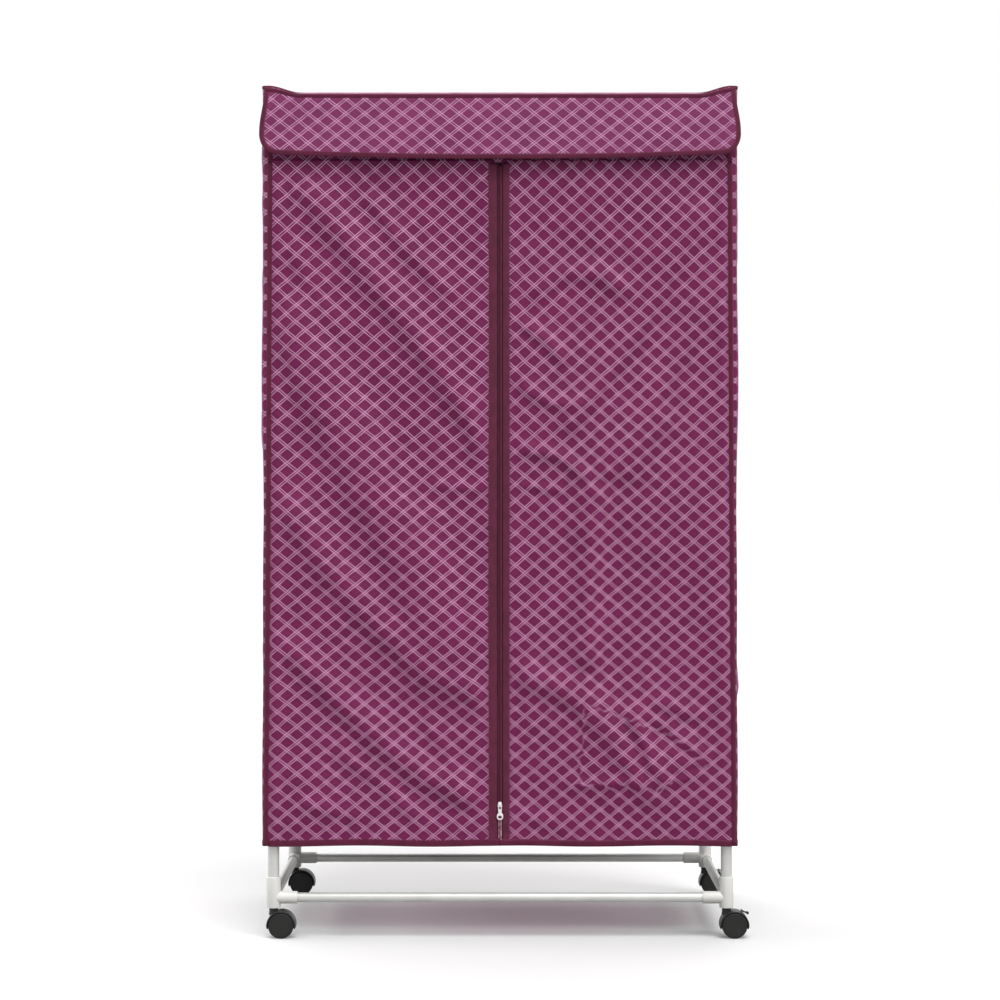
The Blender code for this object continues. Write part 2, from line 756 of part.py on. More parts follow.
# Heater: it stands on the tray, near the right front post
HEATER_X = POST_X - SLEEVE_RADIUS - HEATER_POST_CLEARANCE - HEATER_SIDE / 2
HEATER_Y = -POST_Y + TRAY_EDGE_RADIUS + HEATER_FRONT_CLEARANCE + HEATER_SIDE / 2
HEATER_FOOT = TRAY_LEVEL + TRAY_EDGE_RADIUS + FIT_GAP
HEATER_SPLIT = HEATER_FOOT + HEATER_BASE_HEIGHT
SHELL_FOOT = HEATER_SPLIT + FIT_GAP
HEATER_HEAD = SHELL_FOOT + HEATER_SHELL_HEIGHT


def rounded_square(half, radius):
    """Points of a square with rounded corners, counter-clockwise."""
    loop = []
    reach = half - radius
    for quarter, (sx, sy) in enumerate(((1, 1), (-1, 1), (-1, -1), (1, -1))):
        for i in range(CORNER_STEPS + 1):
            angle = math.pi / 2 * (quarter + i / CORNER_STEPS)
            loop.append(
                (sx * reach + radius * math.cos(angle), sy * reach + radius * math.sin(angle))
            )
    return loop


def casing(name, foot, height, floor_at, floor, wall):
    """A round-cornered box with one closed end and straight walls."""
    half = HEATER_SIDE / 2
    outer = outlined(name, [rounded_square(half, HEATER_CORNER_RADIUS)], height)
    outer.location = (HEATER_X, HEATER_Y, foot + height / 2)
    outer = settle(outer)
    inner_radius = HEATER_CORNER_RADIUS - wall
    depth = height - floor + OVERRUN
    inner = outlined(
        name + "_inside", [rounded_square(half - wall, inner_radius)], depth
    )
    if floor_at < 0:
        middle = foot + floor + depth / 2
    else:
        middle = foot + height - floor - depth / 2
    inner.location = (HEATER_X, HEATER_Y, middle)
    return outer, settle(inner)


base, base_inside = casing(
    "heater_base", HEATER_FOOT, HEATER_BASE_HEIGHT, -1, HEATER_BASE_FLOOR, HEATER_BASE_WALL
)
rear_face = HEATER_Y + HEATER_SIDE / 2
gland_level = HEATER_FOOT + HEATER_BASE_HEIGHT / 2
gland_run = GLAND_LENGTH + HEATER_BASE_WALL
gland_middle = rear_face + GLAND_LENGTH - gland_run / 2
gland = rods(
    "heater_gland",
    [((HEATER_X, gland_middle, gland_level), GLAND_RADIUS, gland_run, "Y")],
    TUBE_SIDES,
)
combine(base, gland, "UNION")
combine(base, base_inside, "DIFFERENCE")
cable_way = rods(
    "heater_cable_way",
    [((HEATER_X, rear_face, gland_level), GLAND_BORE, gland_run * 2, "Y")],
    PIN_SIDES,
)
combine(base, cable_way, "DIFFERENCE")
slot_rows = []
slot_pitch = (HEATER_BASE_HEIGHT - HEATER_BASE_FLOOR) / (INTAKE_SLOT_COUNT / 2 + 1)
for row in range(INTAKE_SLOT_COUNT // 2):
    level = HEATER_FOOT + HEATER_BASE_FLOOR + slot_pitch * (row + 1)
    size = (HEATER_SIDE + OVERRUN, INTAKE_SLOT_LENGTH, INTAKE_SLOT_WIDTH)
    slot_rows.append(((HEATER_X, HEATER_Y, level), size))
combine(base, blocks("heater_intake", slot_rows), "DIFFERENCE")
finish(base, HEATER_PLASTIC)

shell, shell_inside = casing(
    "heater_shell", SHELL_FOOT, HEATER_SHELL_HEIGHT, 1, HEATER_SHELL_WALL, HEATER_SHELL_WALL
)
soft = shell.modifiers.new("edges", "BEVEL")
soft.limit_method = "WEIGHT"
soft.width = HEATER_EDGE_RADIUS
soft.segments = CORNER_STEPS
weights = shell.data.attributes.new("bevel_weight_edge", "FLOAT", "EDGE")
top_half = (SHELL_FOOT + HEATER_HEAD) / 2
for edge in shell.data.edges:
    ends = [shell.data.vertices[i].co for i in edge.vertices]
    on_top = all(end.z > top_half for end in ends)
    mid_x = (ends[0].x + ends[1].x) / 2 - HEATER_X
    mid_y = (ends[0].y + ends[1].y) / 2 - HEATER_Y
    rim = HEATER_SIDE / 2 - HEATER_CORNER_RADIUS
    on_rim = max(abs(mid_x), abs(mid_y)) > rim
    weights.data[edge.index].value = 1.0 if on_top and on_rim else 0.0
combine(shell, shell_inside, "DIFFERENCE")
outlet = rods(
    "heater_outlet",
    [((HEATER_X, HEATER_Y, HEATER_HEAD), OUTLET_RADIUS, HEATER_EDGE_RADIUS * 2, "Z")],
    OUTLET_SIDES,
)
combine(shell, outlet, "DIFFERENCE")
front_face = HEATER_Y - HEATER_SIDE / 2
knob_level = HEATER_HEAD - KNOB_DROP
spindle_bore = KNOB_SPINDLE_RADIUS + FIT_GAP
spindle_hole = rods(
    "knob_hole",
    [((HEATER_X, front_face, knob_level), spindle_bore, HEATER_SHELL_WALL * 4, "Y")],
    PIN_SIDES,
)
combine(shell, spindle_hole, "DIFFERENCE")
finish(shell, HEATER_PLASTIC)

# Outlet grille: a flanged disc with slots
grille_outline = [
    (0, GRILLE_LIP),
    (OUTLET_RADIUS + GRILLE_FLANGE, GRILLE_LIP),
    (OUTLET_RADIUS + GRILLE_FLANGE, 0),
    (OUTLET_RADIUS - FIT_GAP, 0),
    (OUTLET_RADIUS - FIT_GAP, -GRILLE_THICKNESS + GRILLE_LIP),
    (0, -GRILLE_THICKNESS + GRILLE_LIP),
]
grille = turned("heater_grille", grille_outline, OUTLET_SIDES)
grille.location = (HEATER_X, HEATER_Y, HEATER_HEAD + FIT_GAP)
open_radius = OUTLET_RADIUS - GRILLE_RIM
pitch = GRILLE_SLOT_WIDTH + GRILLE_BAR_WIDTH
slots = []
slot_total = int((open_radius * 2 - GRILLE_SLOT_WIDTH) / pitch) + 1
for i in range(slot_total):
    across = (i - (slot_total - 1) / 2) * pitch
    reach = abs(across) + GRILLE_SLOT_WIDTH / 2
    chord = math.sqrt(open_radius**2 - reach**2) - GRILLE_BAR_WIDTH / 2
    for sy in (-1, 1):
        middle = GRILLE_BAR_WIDTH / 2 + chord / 2
        slots.append(
            (
                (HEATER_X + across, HEATER_Y + sy * middle, HEATER_HEAD),
                (GRILLE_SLOT_WIDTH, chord, GRILLE_THICKNESS * 4),
            )
        )
combine(grille, blocks("grille_slots", slots), "DIFFERENCE")
finish(grille, GRILLE_PLASTIC)

# Motor with its shaft, standing on the base's floor
MOTOR_FOOT = HEATER_FOOT + HEATER_BASE_FLOOR + FIT_GAP
motor = turned(
    "heater_motor",
    [
        (0, MOTOR_HEIGHT + SHAFT_LENGTH),
        (SHAFT_RADIUS, MOTOR_HEIGHT + SHAFT_LENGTH),
        (SHAFT_RADIUS, MOTOR_HEIGHT),
        (MOTOR_RADIUS, MOTOR_HEIGHT),
        (MOTOR_RADIUS, 0),
        (0, 0),
    ],
    TUBE_SIDES,
)
motor.location = (HEATER_X, HEATER_Y, MOTOR_FOOT)
finish(motor, MOTOR_STEEL)

# Fan: a hub with a blind bore on the shaft, and pitched blades
FAN_FOOT = MOTOR_FOOT + MOTOR_HEIGHT + FIT_GAP
hub = turned(
    "heater_impeller",
    [
        (0, HUB_HEIGHT),
        (HUB_RADIUS, HUB_HEIGHT),
        (HUB_RADIUS, 0),
        (SHAFT_RADIUS + FIT_GAP, 0),
        (SHAFT_RADIUS + FIT_GAP, SHAFT_LENGTH),
        (0, SHAFT_LENGTH),
    ],
    TUBE_SIDES,
)
hub.location = (HEATER_X, HEATER_Y, FAN_FOOT)
blade_shape = bmesh.new()
blade_start = (HUB_RADIUS + SHAFT_RADIUS) / 2
blade_length = FAN_RADIUS - blade_start
for i in range(FAN_BLADES):
    spin = Matrix.Rotation(math.pi * 2 * i / FAN_BLADES, 4, "Z")
    pitch_turn = Matrix.Rotation(math.radians(FAN_PITCH_DEG), 4, "X")
    shift = Matrix.Translation((blade_start + blade_length / 2, 0, HUB_HEIGHT / 2))
    size = Matrix.Diagonal((blade_length, FAN_BLADE_WIDTH, FAN_BLADE_THICKNESS, 1.0))
    bmesh.ops.create_cube(
        blade_shape, size=1.0, matrix=spin @ shift @ pitch_turn @ size
    )
blades = from_bmesh("fan_blades", blade_shape, (HEATER_X, HEATER_Y, FAN_FOOT))
combine(hub, blades, "UNION")
finish(hub, GRILLE_PLASTIC)

# Heating element: a finned frame whose arms rest on the base's upper edge
ELEMENT_LEVEL = HEATER_SPLIT + FIT_GAP
arm_reach = HEATER_SIDE - (HEATER_SHELL_WALL + FIT_GAP) * 2
element = blocks(
    "heater_element",
    [((0, 0, ELEMENT_HEIGHT / 2), (ELEMENT_SIDE, ELEMENT_SIDE, ELEMENT_HEIGHT))],
)
window = ELEMENT_SIDE - ELEMENT_RIM * 2
arm_size = (arm_reach, ELEMENT_ARM_WIDTH, ELEMENT_ARM_THICKNESS)
arms = blocks("element_arms", [((0, 0, ELEMENT_ARM_THICKNESS / 2), arm_size)])
combine(element, arms, "UNION")
bay = (window - ELEMENT_FIN * ELEMENT_FIN_COUNT) / (ELEMENT_FIN_COUNT + 1)
bays = []
for i in range(ELEMENT_FIN_COUNT + 1):
    y = -window / 2 + bay / 2 + (bay + ELEMENT_FIN) * i
    bays.append(((0, y, ELEMENT_HEIGHT / 2), (window, bay, ELEMENT_HEIGHT * 2)))
combine(element, blocks("element_bays", bays), "DIFFERENCE")
for obj in [element] + [o for o in cutters.objects if o.name.startswith("element_")]:
    obj.location = (HEATER_X, HEATER_Y, ELEMENT_LEVEL)
finish(element, ELEMENT_ALLOY)

# Timer knob on the heater's front, with a pointer ridge and a spindle
knob = turned(
    "timer_knob",
    [
        (0, KNOB_DEPTH),
        (KNOB_RADIUS, KNOB_DEPTH),
        (KNOB_RADIUS, 0),
        (KNOB_SPINDLE_RADIUS, 0),
        (KNOB_SPINDLE_RADIUS, -HEATER_SHELL_WALL * 2),
        (0, -HEATER_SHELL_WALL * 2),
    ],
    DISC_SIDES,
)
ridge_size = (KNOB_RIDGE, KNOB_RADIUS * 2 - KNOB_RIDGE, KNOB_RIDGE)
ridge = blocks("knob_ridge", [((0, 0, KNOB_DEPTH), ridge_size)])
combine(knob, ridge, "UNION")
for obj in (knob, ridge):
    obj.location = (HEATER_X, front_face - FIT_GAP, knob_level)
    obj.rotation_euler = (math.pi / 2, 0, 0)
finish(knob, HEATER_PLASTIC)


def smooth_step(value):
    """Ease from 0 to 1 as the value goes from 0 to 1, and hold beyond."""
    t = min(max(value, 0.0), 1.0)
    return t * t * (3 - 2 * t)


def ear_share(distance, inner):
    """How far up the corner ear the roof stands at a distance from the centre line.

    It is 1 over the connector, then falls to 0 along the row of ear shares.
    """
    steps = [inner - EAR_SPREAD * share for share in EAR_STEP_SHARES]
    if distance >= steps[0]:
        return 1.0
    for i in range(len(steps) - 1):
        if distance >= steps[i + 1]:
            t = (steps[i] - distance) / (steps[i] - steps[i + 1])
            return EAR_FALL_SHARES[i] * (1 - t) + EAR_FALL_SHARES[i + 1] * t
    return 0.0


def roof_height(x, y):
    """Middle surface of the roof cloth: flat, with a raised ear over each corner."""
    ear = ear_share(abs(x), EAR_INNER_X) * ear_share(abs(y), EAR_INNER_Y)
    return ROOF_LEVEL + EAR_RISE * ear


def stations(edge, inner):
    """Grid lines across the roof, from one edge to the other."""
    outer = [edge] + [inner - EAR_SPREAD * share for share in EAR_STEP_SHARES]
    flat = outer[-1]
    middle = [flat * share for share in ROOF_INNER_SHARES]
    return [-value for value in outer] + middle + outer[::-1]


def sheet(name, grid, thickness):
    """A cloth panel: a grid of points, given its thickness about its middle."""
    rows = len(grid)
    columns = len(grid[0])
    shape = bmesh.new()
    bmesh.ops.create_grid(shape, x_segments=columns - 1, y_segments=rows - 1, size=1.0)
    shape.verts.ensure_lookup_table()
    order = sorted(shape.verts, key=lambda v: (round(v.co.y, 5), round(v.co.x, 5)))
    for index, vert in enumerate(order):
        vert.co = Vector(grid[index // columns][index % columns])
    obj = from_bmesh(name, shape)
    wall = obj.modifiers.new("cloth", "SOLIDIFY")
    wall.thickness = thickness
    wall.offset = 0.0
    wall.use_even_offset = True
    return obj


# Roof panel
ROOF_HALF_X = COVER_HALF_X + HALF_CLOTH
ROOF_HALF_Y = COVER_HALF_Y + HALF_CLOTH
roof_x = stations(ROOF_HALF_X, EAR_INNER_X)
roof_y = stations(ROOF_HALF_Y, EAR_INNER_Y)
roof_grid = [[(x, y, roof_height(x, y)) for x in roof_x] for y in roof_y]
finish(sheet("roof_panel", roof_grid, CLOTH), PLUM_CLOTH)

PANEL_GAP = HALF_CLOTH + FIT_GAP


def panel_head(x, y):
    """Top edge of an upright panel: just under the roof cloth."""
    return roof_height(x, y) - PANEL_GAP


def seam_x(level):
    """Distance from the middle to the front seams, which spread towards the hem."""
    top = COVER_HALF_X - SEAM_INSET_TOP
    foot = COVER_HALF_X - SEAM_INSET_FOOT
    share = (HEADER_FOOT - level) / (HEADER_FOOT - HEM_LEVEL)
    return top + (foot - top) * share


# Side panels, each wrapped round the two posts from the front seam to the rear seam
def side_panel(name, sx):
    """A panel with an upright run along Y and a short lip at the front and rear."""
    corner = COVER_CORNER_RADIUS
    run = [y for y in stations(COVER_HALF_Y - corner, EAR_INNER_Y)]
    grid = []
    for i in range(SIDE_ROWS + 1):
        share = i / SIDE_ROWS
        ramp = math.sin(math.pi * smooth_step(share))
        row = []

        def height(x, y):
            return HEM_LEVEL + (panel_head(x, y) - HEM_LEVEL) * share

        low = HEM_LEVEL + (ROOF_LEVEL - HEM_LEVEL) * share
        front = seam_x(low) + FIT_GAP / 2
        row.append((sx * front, -COVER_HALF_Y, height(POST_X, POST_Y)))
        for k in range(CORNER_STEPS):
            angle = math.pi / 2 * k / CORNER_STEPS
            x = COVER_HALF_X - corner + corner * math.sin(angle)
            y = -COVER_HALF_Y + corner - corner * math.cos(angle)
            row.append((sx * x, y, height(POST_X, POST_Y)))
        for y in run:
            along = (y + run[-1]) / (run[-1] * 2)
            wave = math.sin(math.pi * along * SIDE_FOLD_COUNT + share)
            wave *= math.sin(math.pi * along)
            out = SIDE_FOLD * wave * ramp
            row.append((sx * (COVER_HALF_X + out), y, height(POST_X, y)))
        for k in range(CORNER_STEPS - 1, -1, -1):
            angle = math.pi / 2 * k / CORNER_STEPS
            x = COVER_HALF_X - corner + corner * math.sin(angle)
            y = COVER_HALF_Y - corner + corner * math.cos(angle)
            row.append((sx * x, y, height(POST_X, POST_Y)))
        rear = COVER_HALF_X - SEAM_INSET_TOP + FIT_GAP / 2
        row.append((sx * rear, COVER_HALF_Y, height(POST_X, POST_Y)))
        grid.append(row)
    return finish(sheet(name, grid, CLOTH), PLUM_CLOTH)


side_panel("side_panel_left", -1)
side_panel("side_panel_right", 1)

# Back panel between the rear seams, and header panel above the doors
back_half = COVER_HALF_X - SEAM_INSET_TOP - FIT_GAP / 2
inner_x = roof_x[2:-2]
back_x = [-back_half, -EAR_INNER_X] + inner_x + [EAR_INNER_X, back_half]
back_grid = []
for i in range(SIDE_ROWS + 1):
    share = i / SIDE_ROWS
    ramp = math.sin(math.pi * smooth_step(share))
    row = []
    for x in back_x:
        along = (x + back_half) / (back_half * 2)
        wave = math.cos(math.pi * 2 * SIDE_FOLD_COUNT * along)
        wave *= math.sin(math.pi * along) / 2
        y = COVER_HALF_Y + SIDE_FOLD * wave * ramp
        rise = panel_head(x, ROOF_HALF_Y) - HEM_LEVEL
        row.append((x, y, HEM_LEVEL + rise * share))
    back_grid.append(row)
finish(sheet("back_panel", back_grid, CLOTH), PLUM_CLOTH)

header_grid = []
for share in (0, 1):
    row = []
    for x in back_x:
        top = panel_head(x, ROOF_HALF_Y)
        level = HEADER_FOOT + (top - HEADER_FOOT) * share
        half = seam_x(level) - FIT_GAP / 2
        place = x if abs(x) < back_half else math.copysign(half, x)
        row.append((place, -COVER_HALF_Y, level))
    header_grid.append(row)
finish(sheet("header_panel", header_grid, CLOTH), PLUM_CLOTH)

# Doors
LEFT_EDGE = -(SLIDER_HALF_WIDTH + SLIDER_WALL + FIT_GAP)
BUMP_X = HEATER_X + HEATER_SIDE / 2 - BUMP_SPREAD_WIDE
BUMP_Z = (HEATER_FOOT + HEATER_HEAD) / 2


def fold_depth(x, level, edge):
    """How far a door's cloth stands out: folds that fan down to the right.

    The folds lie on lines through one focus below the right of the cover, an even
    angle apart, and fade out at the seam, the zip, the header and the hem.
    """
    rise = level - HEM_LEVEL + FAN_FOCUS_BELOW
    angle = math.degrees(math.atan2(rise, FAN_FOCUS_RIGHT - x))
    turns = (angle - FOLD_FIRST_DEG) / FOLD_STEP_DEG
    wave = (1 - math.cos(math.pi * 2 * turns)) / 2
    inset = seam_x(level) - SEAM_FLAT_MARGIN - abs(x)
    from_zip = abs(x) - abs(edge) - TAPE_WIDTH - ZIP_FLAT_MARGIN
    fade = smooth_step(inset / FOLD_FADE) * smooth_step(from_zip / FOLD_FADE)
    fade *= smooth_step((DOOR_HEAD - level) / FOLD_FADE)
    from_hem = smooth_step((level - HEM_LEVEL) / FOLD_FADE)
    fade *= HEM_FOLD_SHARE + (1 - HEM_FOLD_SHARE) * from_hem
    return DOOR_FOLD * wave * fade, fade


def door_depth(x, level, edge):
    """The door's stand-off: folds, and on the right the bulge over the heater."""
    depth, fade = fold_depth(x, level, edge)
    if x < 0:
        return depth
    a = (x - BUMP_X) / BUMP_SPREAD_WIDE
    b = (level - BUMP_Z) / BUMP_SPREAD_HIGH
    bump = math.exp(-(a * a) - b * b)
    return depth * RIGHT_FOLD_SHARE * (1 - bump) + BUMP_DEPTH * bump * fade


def door(name, sx, edge, strip_half, strip_middle, strip_thickness):
    """One door: a folded cloth panel with the zip's strip on its free edge."""
    grid = []
    origin_x = sx * seam_x(HEM_LEVEL)
    columns = []
    flat_end = abs(edge) + TAPE_WIDTH + ZIP_FLAT_MARGIN
    for i in range(DOOR_ROWS + 1):
        level = HEM_LEVEL + (DOOR_HEAD - HEM_LEVEL) * i / DOOR_ROWS
        hinge = seam_x(level) - FIT_GAP / 2
        folded_end = hinge - SEAM_FLAT_MARGIN
        row = [(edge, 0)]
        for k in range(DOOR_COLUMNS + 1):
            share = k / DOOR_COLUMNS
            x = sx * (flat_end + (folded_end - flat_end) * share)
            row.append((x, door_depth(x, level, edge)))
        row.append((sx * hinge, 0))
        row = [(x - origin_x, -depth + HALF_CLOTH, level - HEM_LEVEL) for x, depth in row]
        if sx > 0:
            grid.append(row)
        else:
            grid.append(row[::-1])
    obj = sheet(name, grid, CLOTH)
    height = DOOR_HEAD - HEM_LEVEL
    strip = blocks(
        name + "_strip",
        [
            (
                (strip_middle - origin_x, HALF_CLOTH, height / 2),
                (strip_half * 2, strip_thickness, height),
            )
        ],
    )
    combine(obj, strip, "UNION")
    for each in (obj, strip):
        each.location = (origin_x, FRONT_FACE, HEM_LEVEL)
    return finish(obj, PLUM_CLOTH)


left_edge = LEFT_EDGE - FIT_GAP
door(
    "door_left",
    -1,
    left_edge - TAPE_WIDTH / 2,
    TAPE_WIDTH / 2,
    left_edge - TAPE_WIDTH / 2,
    TAPE_THICKNESS,
)
door("door_right", 1, 0, COIL_HALF_WIDTH, 0, COIL_THICKNESS)

# Zip slider: a C section round the coil, with a staple that holds the pull
SLIDER_LEVEL = HEM_LEVEL + SLIDER_FOOT_RISE + SLIDER_HEIGHT / 2
slider_left = -SLIDER_HALF_WIDTH - SLIDER_WALL
plate_near = COIL_THICKNESS / 2 + FIT_GAP
plate_far = plate_near + SLIDER_PLATE
slider_loop = [
    (slider_left, -plate_far),
    (SLIDER_HALF_WIDTH, -plate_far),
    (SLIDER_HALF_WIDTH, -plate_near),
    (slider_left + SLIDER_WALL, -plate_near),
    (slider_left + SLIDER_WALL, plate_near),
    (SLIDER_HALF_WIDTH, plate_near),
    (SLIDER_HALF_WIDTH, plate_far),
    (slider_left, plate_far),
]
slider = outlined("zip_slider", [slider_loop], SLIDER_HEIGHT)
slider = settle(slider)
staple_half = STAPLE_SPAN / 2
staple_reach = STAPLE_CLEARANCE + STAPLE_BAR
staple = blocks(
    "staple",
    [
        (
            (0, -plate_far - staple_reach / 2 + FIT_GAP, 0),
            (STAPLE_WIDTH, staple_reach + FIT_GAP * 2, STAPLE_SPAN + STAPLE_FOOT * 2),
        )
    ],
)
combine(slider, staple, "UNION")
window_cut = blocks(
    "staple_window",
    [
        (
            (0, -plate_far - STAPLE_CLEARANCE / 2, 0),
            (STAPLE_WIDTH + OVERRUN, STAPLE_CLEARANCE, STAPLE_SPAN),
        )
    ],
)
combine(slider, window_cut, "DIFFERENCE")
for obj in (slider, staple, window_cut):
    obj.location = (0, -COVER_HALF_Y, SLIDER_LEVEL)
finish(slider, ZIP_METAL)

# Zip pull: a flat tab whose top bar sits in the staple, with a window and a hole
bar_half = PULL_BAR / 2
window_foot = -bar_half - PULL_WINDOW_LENGTH
pull_loop = [
    (-PULL_TOP_HALF, bar_half),
    (-PULL_TOP_HALF, window_foot - bar_half),
    (-PULL_FOOT_HALF, -PULL_LENGTH + PULL_FOOT_HALF / 2),
    (-PULL_FOOT_HALF / 2, -PULL_LENGTH),
    (PULL_FOOT_HALF / 2, -PULL_LENGTH),
    (PULL_FOOT_HALF, -PULL_LENGTH + PULL_FOOT_HALF / 2),
    (PULL_TOP_HALF, window_foot - bar_half),
    (PULL_TOP_HALF, bar_half),
]
window_loop = [
    (-PULL_WINDOW_HALF, -bar_half),
    (PULL_WINDOW_HALF, -bar_half),
    (PULL_WINDOW_HALF, window_foot),
    (-PULL_WINDOW_HALF, window_foot),
]
hole_loop = []
hole_level = -PULL_LENGTH + PULL_HOLE_RISE
for i in range(PIN_SIDES):
    angle = math.pi * 2 * i / PIN_SIDES
    hole_loop.append(
        (
            PULL_HOLE_HALF_WIDE * math.cos(angle),
            hole_level + PULL_HOLE_HALF_HIGH * math.sin(angle),
        )
    )
pull = outlined("zip_pull", [pull_loop, window_loop, hole_loop], PULL_THICKNESS)
pull.rotation_euler = (math.pi / 2, 0, 0)
PULL_Y = -COVER_HALF_Y - plate_far - STAPLE_CLEARANCE / 2
pull = settle(pull)
pull.location = (0, PULL_Y, SLIDER_LEVEL)
finish(pull, ZIP_METAL)

# Front flap: hinged along the roof's front edge, flaring forward to its lower edge
FLAP_HALF = COVER_HALF_X + FLAP_OVERHANG
flap_rows = []
for share in FLAP_ROW_SHARES:
    flap_rows.append(((FLAP_DEPTH - FLAP_CORNER_RADIUS) * share, 0.0))
for degrees in FLAP_CORNER_DEG[1:]:
    angle = math.radians(degrees)
    drop = FLAP_DEPTH - FLAP_CORNER_RADIUS + FLAP_CORNER_RADIUS * math.sin(angle)
    flap_rows.append((drop, FLAP_CORNER_RADIUS * (1 - math.cos(angle))))
flap_grid = []
for drop, tuck in flap_rows:
    down = drop / FLAP_DEPTH
    row = []
    for share in FLAP_COLUMN_SHARES:
        wave = FLAP_WAVE * math.sin(math.pi * FLAP_WAVE_COUNT * share) * down
        row.append((share * (FLAP_HALF - tuck), -FLAP_FLARE * down + wave, -drop))
    flap_grid.append(row)
flap_grid.reverse()
flap = sheet("front_flap", flap_grid, CLOTH)
flap.location = (0, -FLAP_PLANE, FLAP_HEAD)
finish(flap, PLUM_CLOTH)
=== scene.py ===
import json
import math

import bpy
import numpy as np
from bpy.props import FloatProperty, FloatVectorProperty, PointerProperty
from bpy.types import Operator, Panel, PropertyGroup
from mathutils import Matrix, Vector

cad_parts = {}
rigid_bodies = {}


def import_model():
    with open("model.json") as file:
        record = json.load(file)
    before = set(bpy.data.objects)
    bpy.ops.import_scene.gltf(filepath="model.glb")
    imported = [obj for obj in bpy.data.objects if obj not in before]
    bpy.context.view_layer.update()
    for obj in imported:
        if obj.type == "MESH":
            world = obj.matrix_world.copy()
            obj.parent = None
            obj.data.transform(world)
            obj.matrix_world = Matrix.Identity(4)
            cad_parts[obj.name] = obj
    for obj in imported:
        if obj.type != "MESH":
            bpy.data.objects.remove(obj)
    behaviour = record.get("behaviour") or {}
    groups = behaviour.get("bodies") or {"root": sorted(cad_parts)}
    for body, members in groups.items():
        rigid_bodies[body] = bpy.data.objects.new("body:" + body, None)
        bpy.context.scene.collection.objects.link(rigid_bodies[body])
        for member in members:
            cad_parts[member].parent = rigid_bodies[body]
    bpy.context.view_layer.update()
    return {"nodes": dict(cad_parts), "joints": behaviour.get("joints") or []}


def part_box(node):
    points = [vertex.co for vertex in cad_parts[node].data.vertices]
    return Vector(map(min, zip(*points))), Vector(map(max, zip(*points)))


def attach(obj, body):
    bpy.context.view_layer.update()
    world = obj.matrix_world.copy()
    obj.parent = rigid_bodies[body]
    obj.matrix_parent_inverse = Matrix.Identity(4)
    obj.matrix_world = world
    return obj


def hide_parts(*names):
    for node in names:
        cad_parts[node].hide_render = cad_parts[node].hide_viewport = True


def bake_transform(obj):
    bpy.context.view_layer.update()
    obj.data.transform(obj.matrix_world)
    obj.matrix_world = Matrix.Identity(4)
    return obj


bl_info = {
    "name": "Portable Clothes Dryer",
    "version": (1, 0, 0),
    "blender": (4, 5, 0),
    "location": "View3D > Sidebar > Dryer",
    "description": "Cloth cover, tubes, casters and heater on the dryer's frame",
    "category": "Object",
}

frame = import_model()

# Places read from the frame
JOINTS = {joint["name"]: joint for joint in frame["joints"]}
CORNERS = (
    ("front_left", -1, -1),
    ("front_right", 1, -1),
    ("rear_left", -1, 1),
    ("rear_right", 1, 1),
)


def extent(node):
    """Lowest corner, highest corner and middle of a frame node, as arrays."""
    low, high = (np.array(corner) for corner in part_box(node))
    return low, high, (low + high) / 2


def joint_place(name):
    """Place of a joint, in metres, as an array."""
    return np.array(JOINTS[name]["pos_m"])


post_low, post_high, post_middle = extent("post_front_right")
POST_X, POST_Y = post_middle[0], -post_middle[1]
POST_RADIUS = (post_high[0] - post_low[0]) / 2
rail_low, rail_high = extent("base_rail_front")[:2]
RAIL_RADIUS = (rail_high[2] - rail_low[2]) / 2
SEAM_FOOT_X, FRONT_FACE, HEM = JOINTS["door_right_swing"]["pos_m"]
SEAM_LEAN = JOINTS["door_right_swing"]["axis"][0] / JOINTS["door_right_swing"]["axis"][2]
FLAP_HINGE = joint_place("flap_lift")
DOOR_HEAD = extent("door_right")[1][2]
roof_low, roof_high = extent("roof_panel")[:2]
CLOTH_WALL = 0.0018
COVER_X = roof_high[0] - CLOTH_WALL / 2
COVER_Y = roof_high[1] - CLOTH_WALL / 2
ROOF_LEVEL = roof_low[2] + CLOTH_WALL / 2
SLIDER_LEVEL = joint_place("pull_lift")[2]
FORWARD = np.array((0.0, -1.0, 0.0))

# Sizes that several pieces share, in metres
BINDING_THICK = 0.0030
HEM_RAISE = 0.0044  # a hem's tape, from the edge to its middle
UNDER_ROOF = 0.0012  # from the middle of the roof's cloth down to the walls' upper edge
SEAM_GAP = 0.0004  # a panel's edge, short of its seam
COVER_CORNER = 0.0055  # radius of the cover's upright corners
LATTICE_LEVEL = 0.606  # height at which lines of the lattice cross

# Folds of the doors, in millimetres: rise, half width, then x, z of each crest point
LEFT_FOLDS = (
    (10.5, 24, -319, 1244, -218, 1111, -147, 1018, -63, 892, -29, 833),
    (20, 41, -358, 1018, -287, 884, -224, 759, -145, 633, -108, 500),
    (10.5, 25, -351, 710, -280, 610, -198, 519, -124, 445, -20, 408),
    (8.5, 24, -350, 477, -291, 423, -232, 359, -127, 271, -61, 242),
    (4.5, 16, -214, 1233, -160, 1158, -94, 1087),
    (2.5, 14, -346, 1150, -310, 1080, -262, 1010),
    (3.8, 14, -324, 224, -240, 203),
    (2.2, 16, -300, 980, -232, 880, -190, 800),
    (2.6, 9, -105, 758, -60, 754, -10, 752),
    (2, 10, -190, 700, -150, 712, -100, 705),
    (3, 14, -120, 360, -85, 300, -60, 225),
    (3, 13, -260, 300, -200, 262, -140, 200),
)
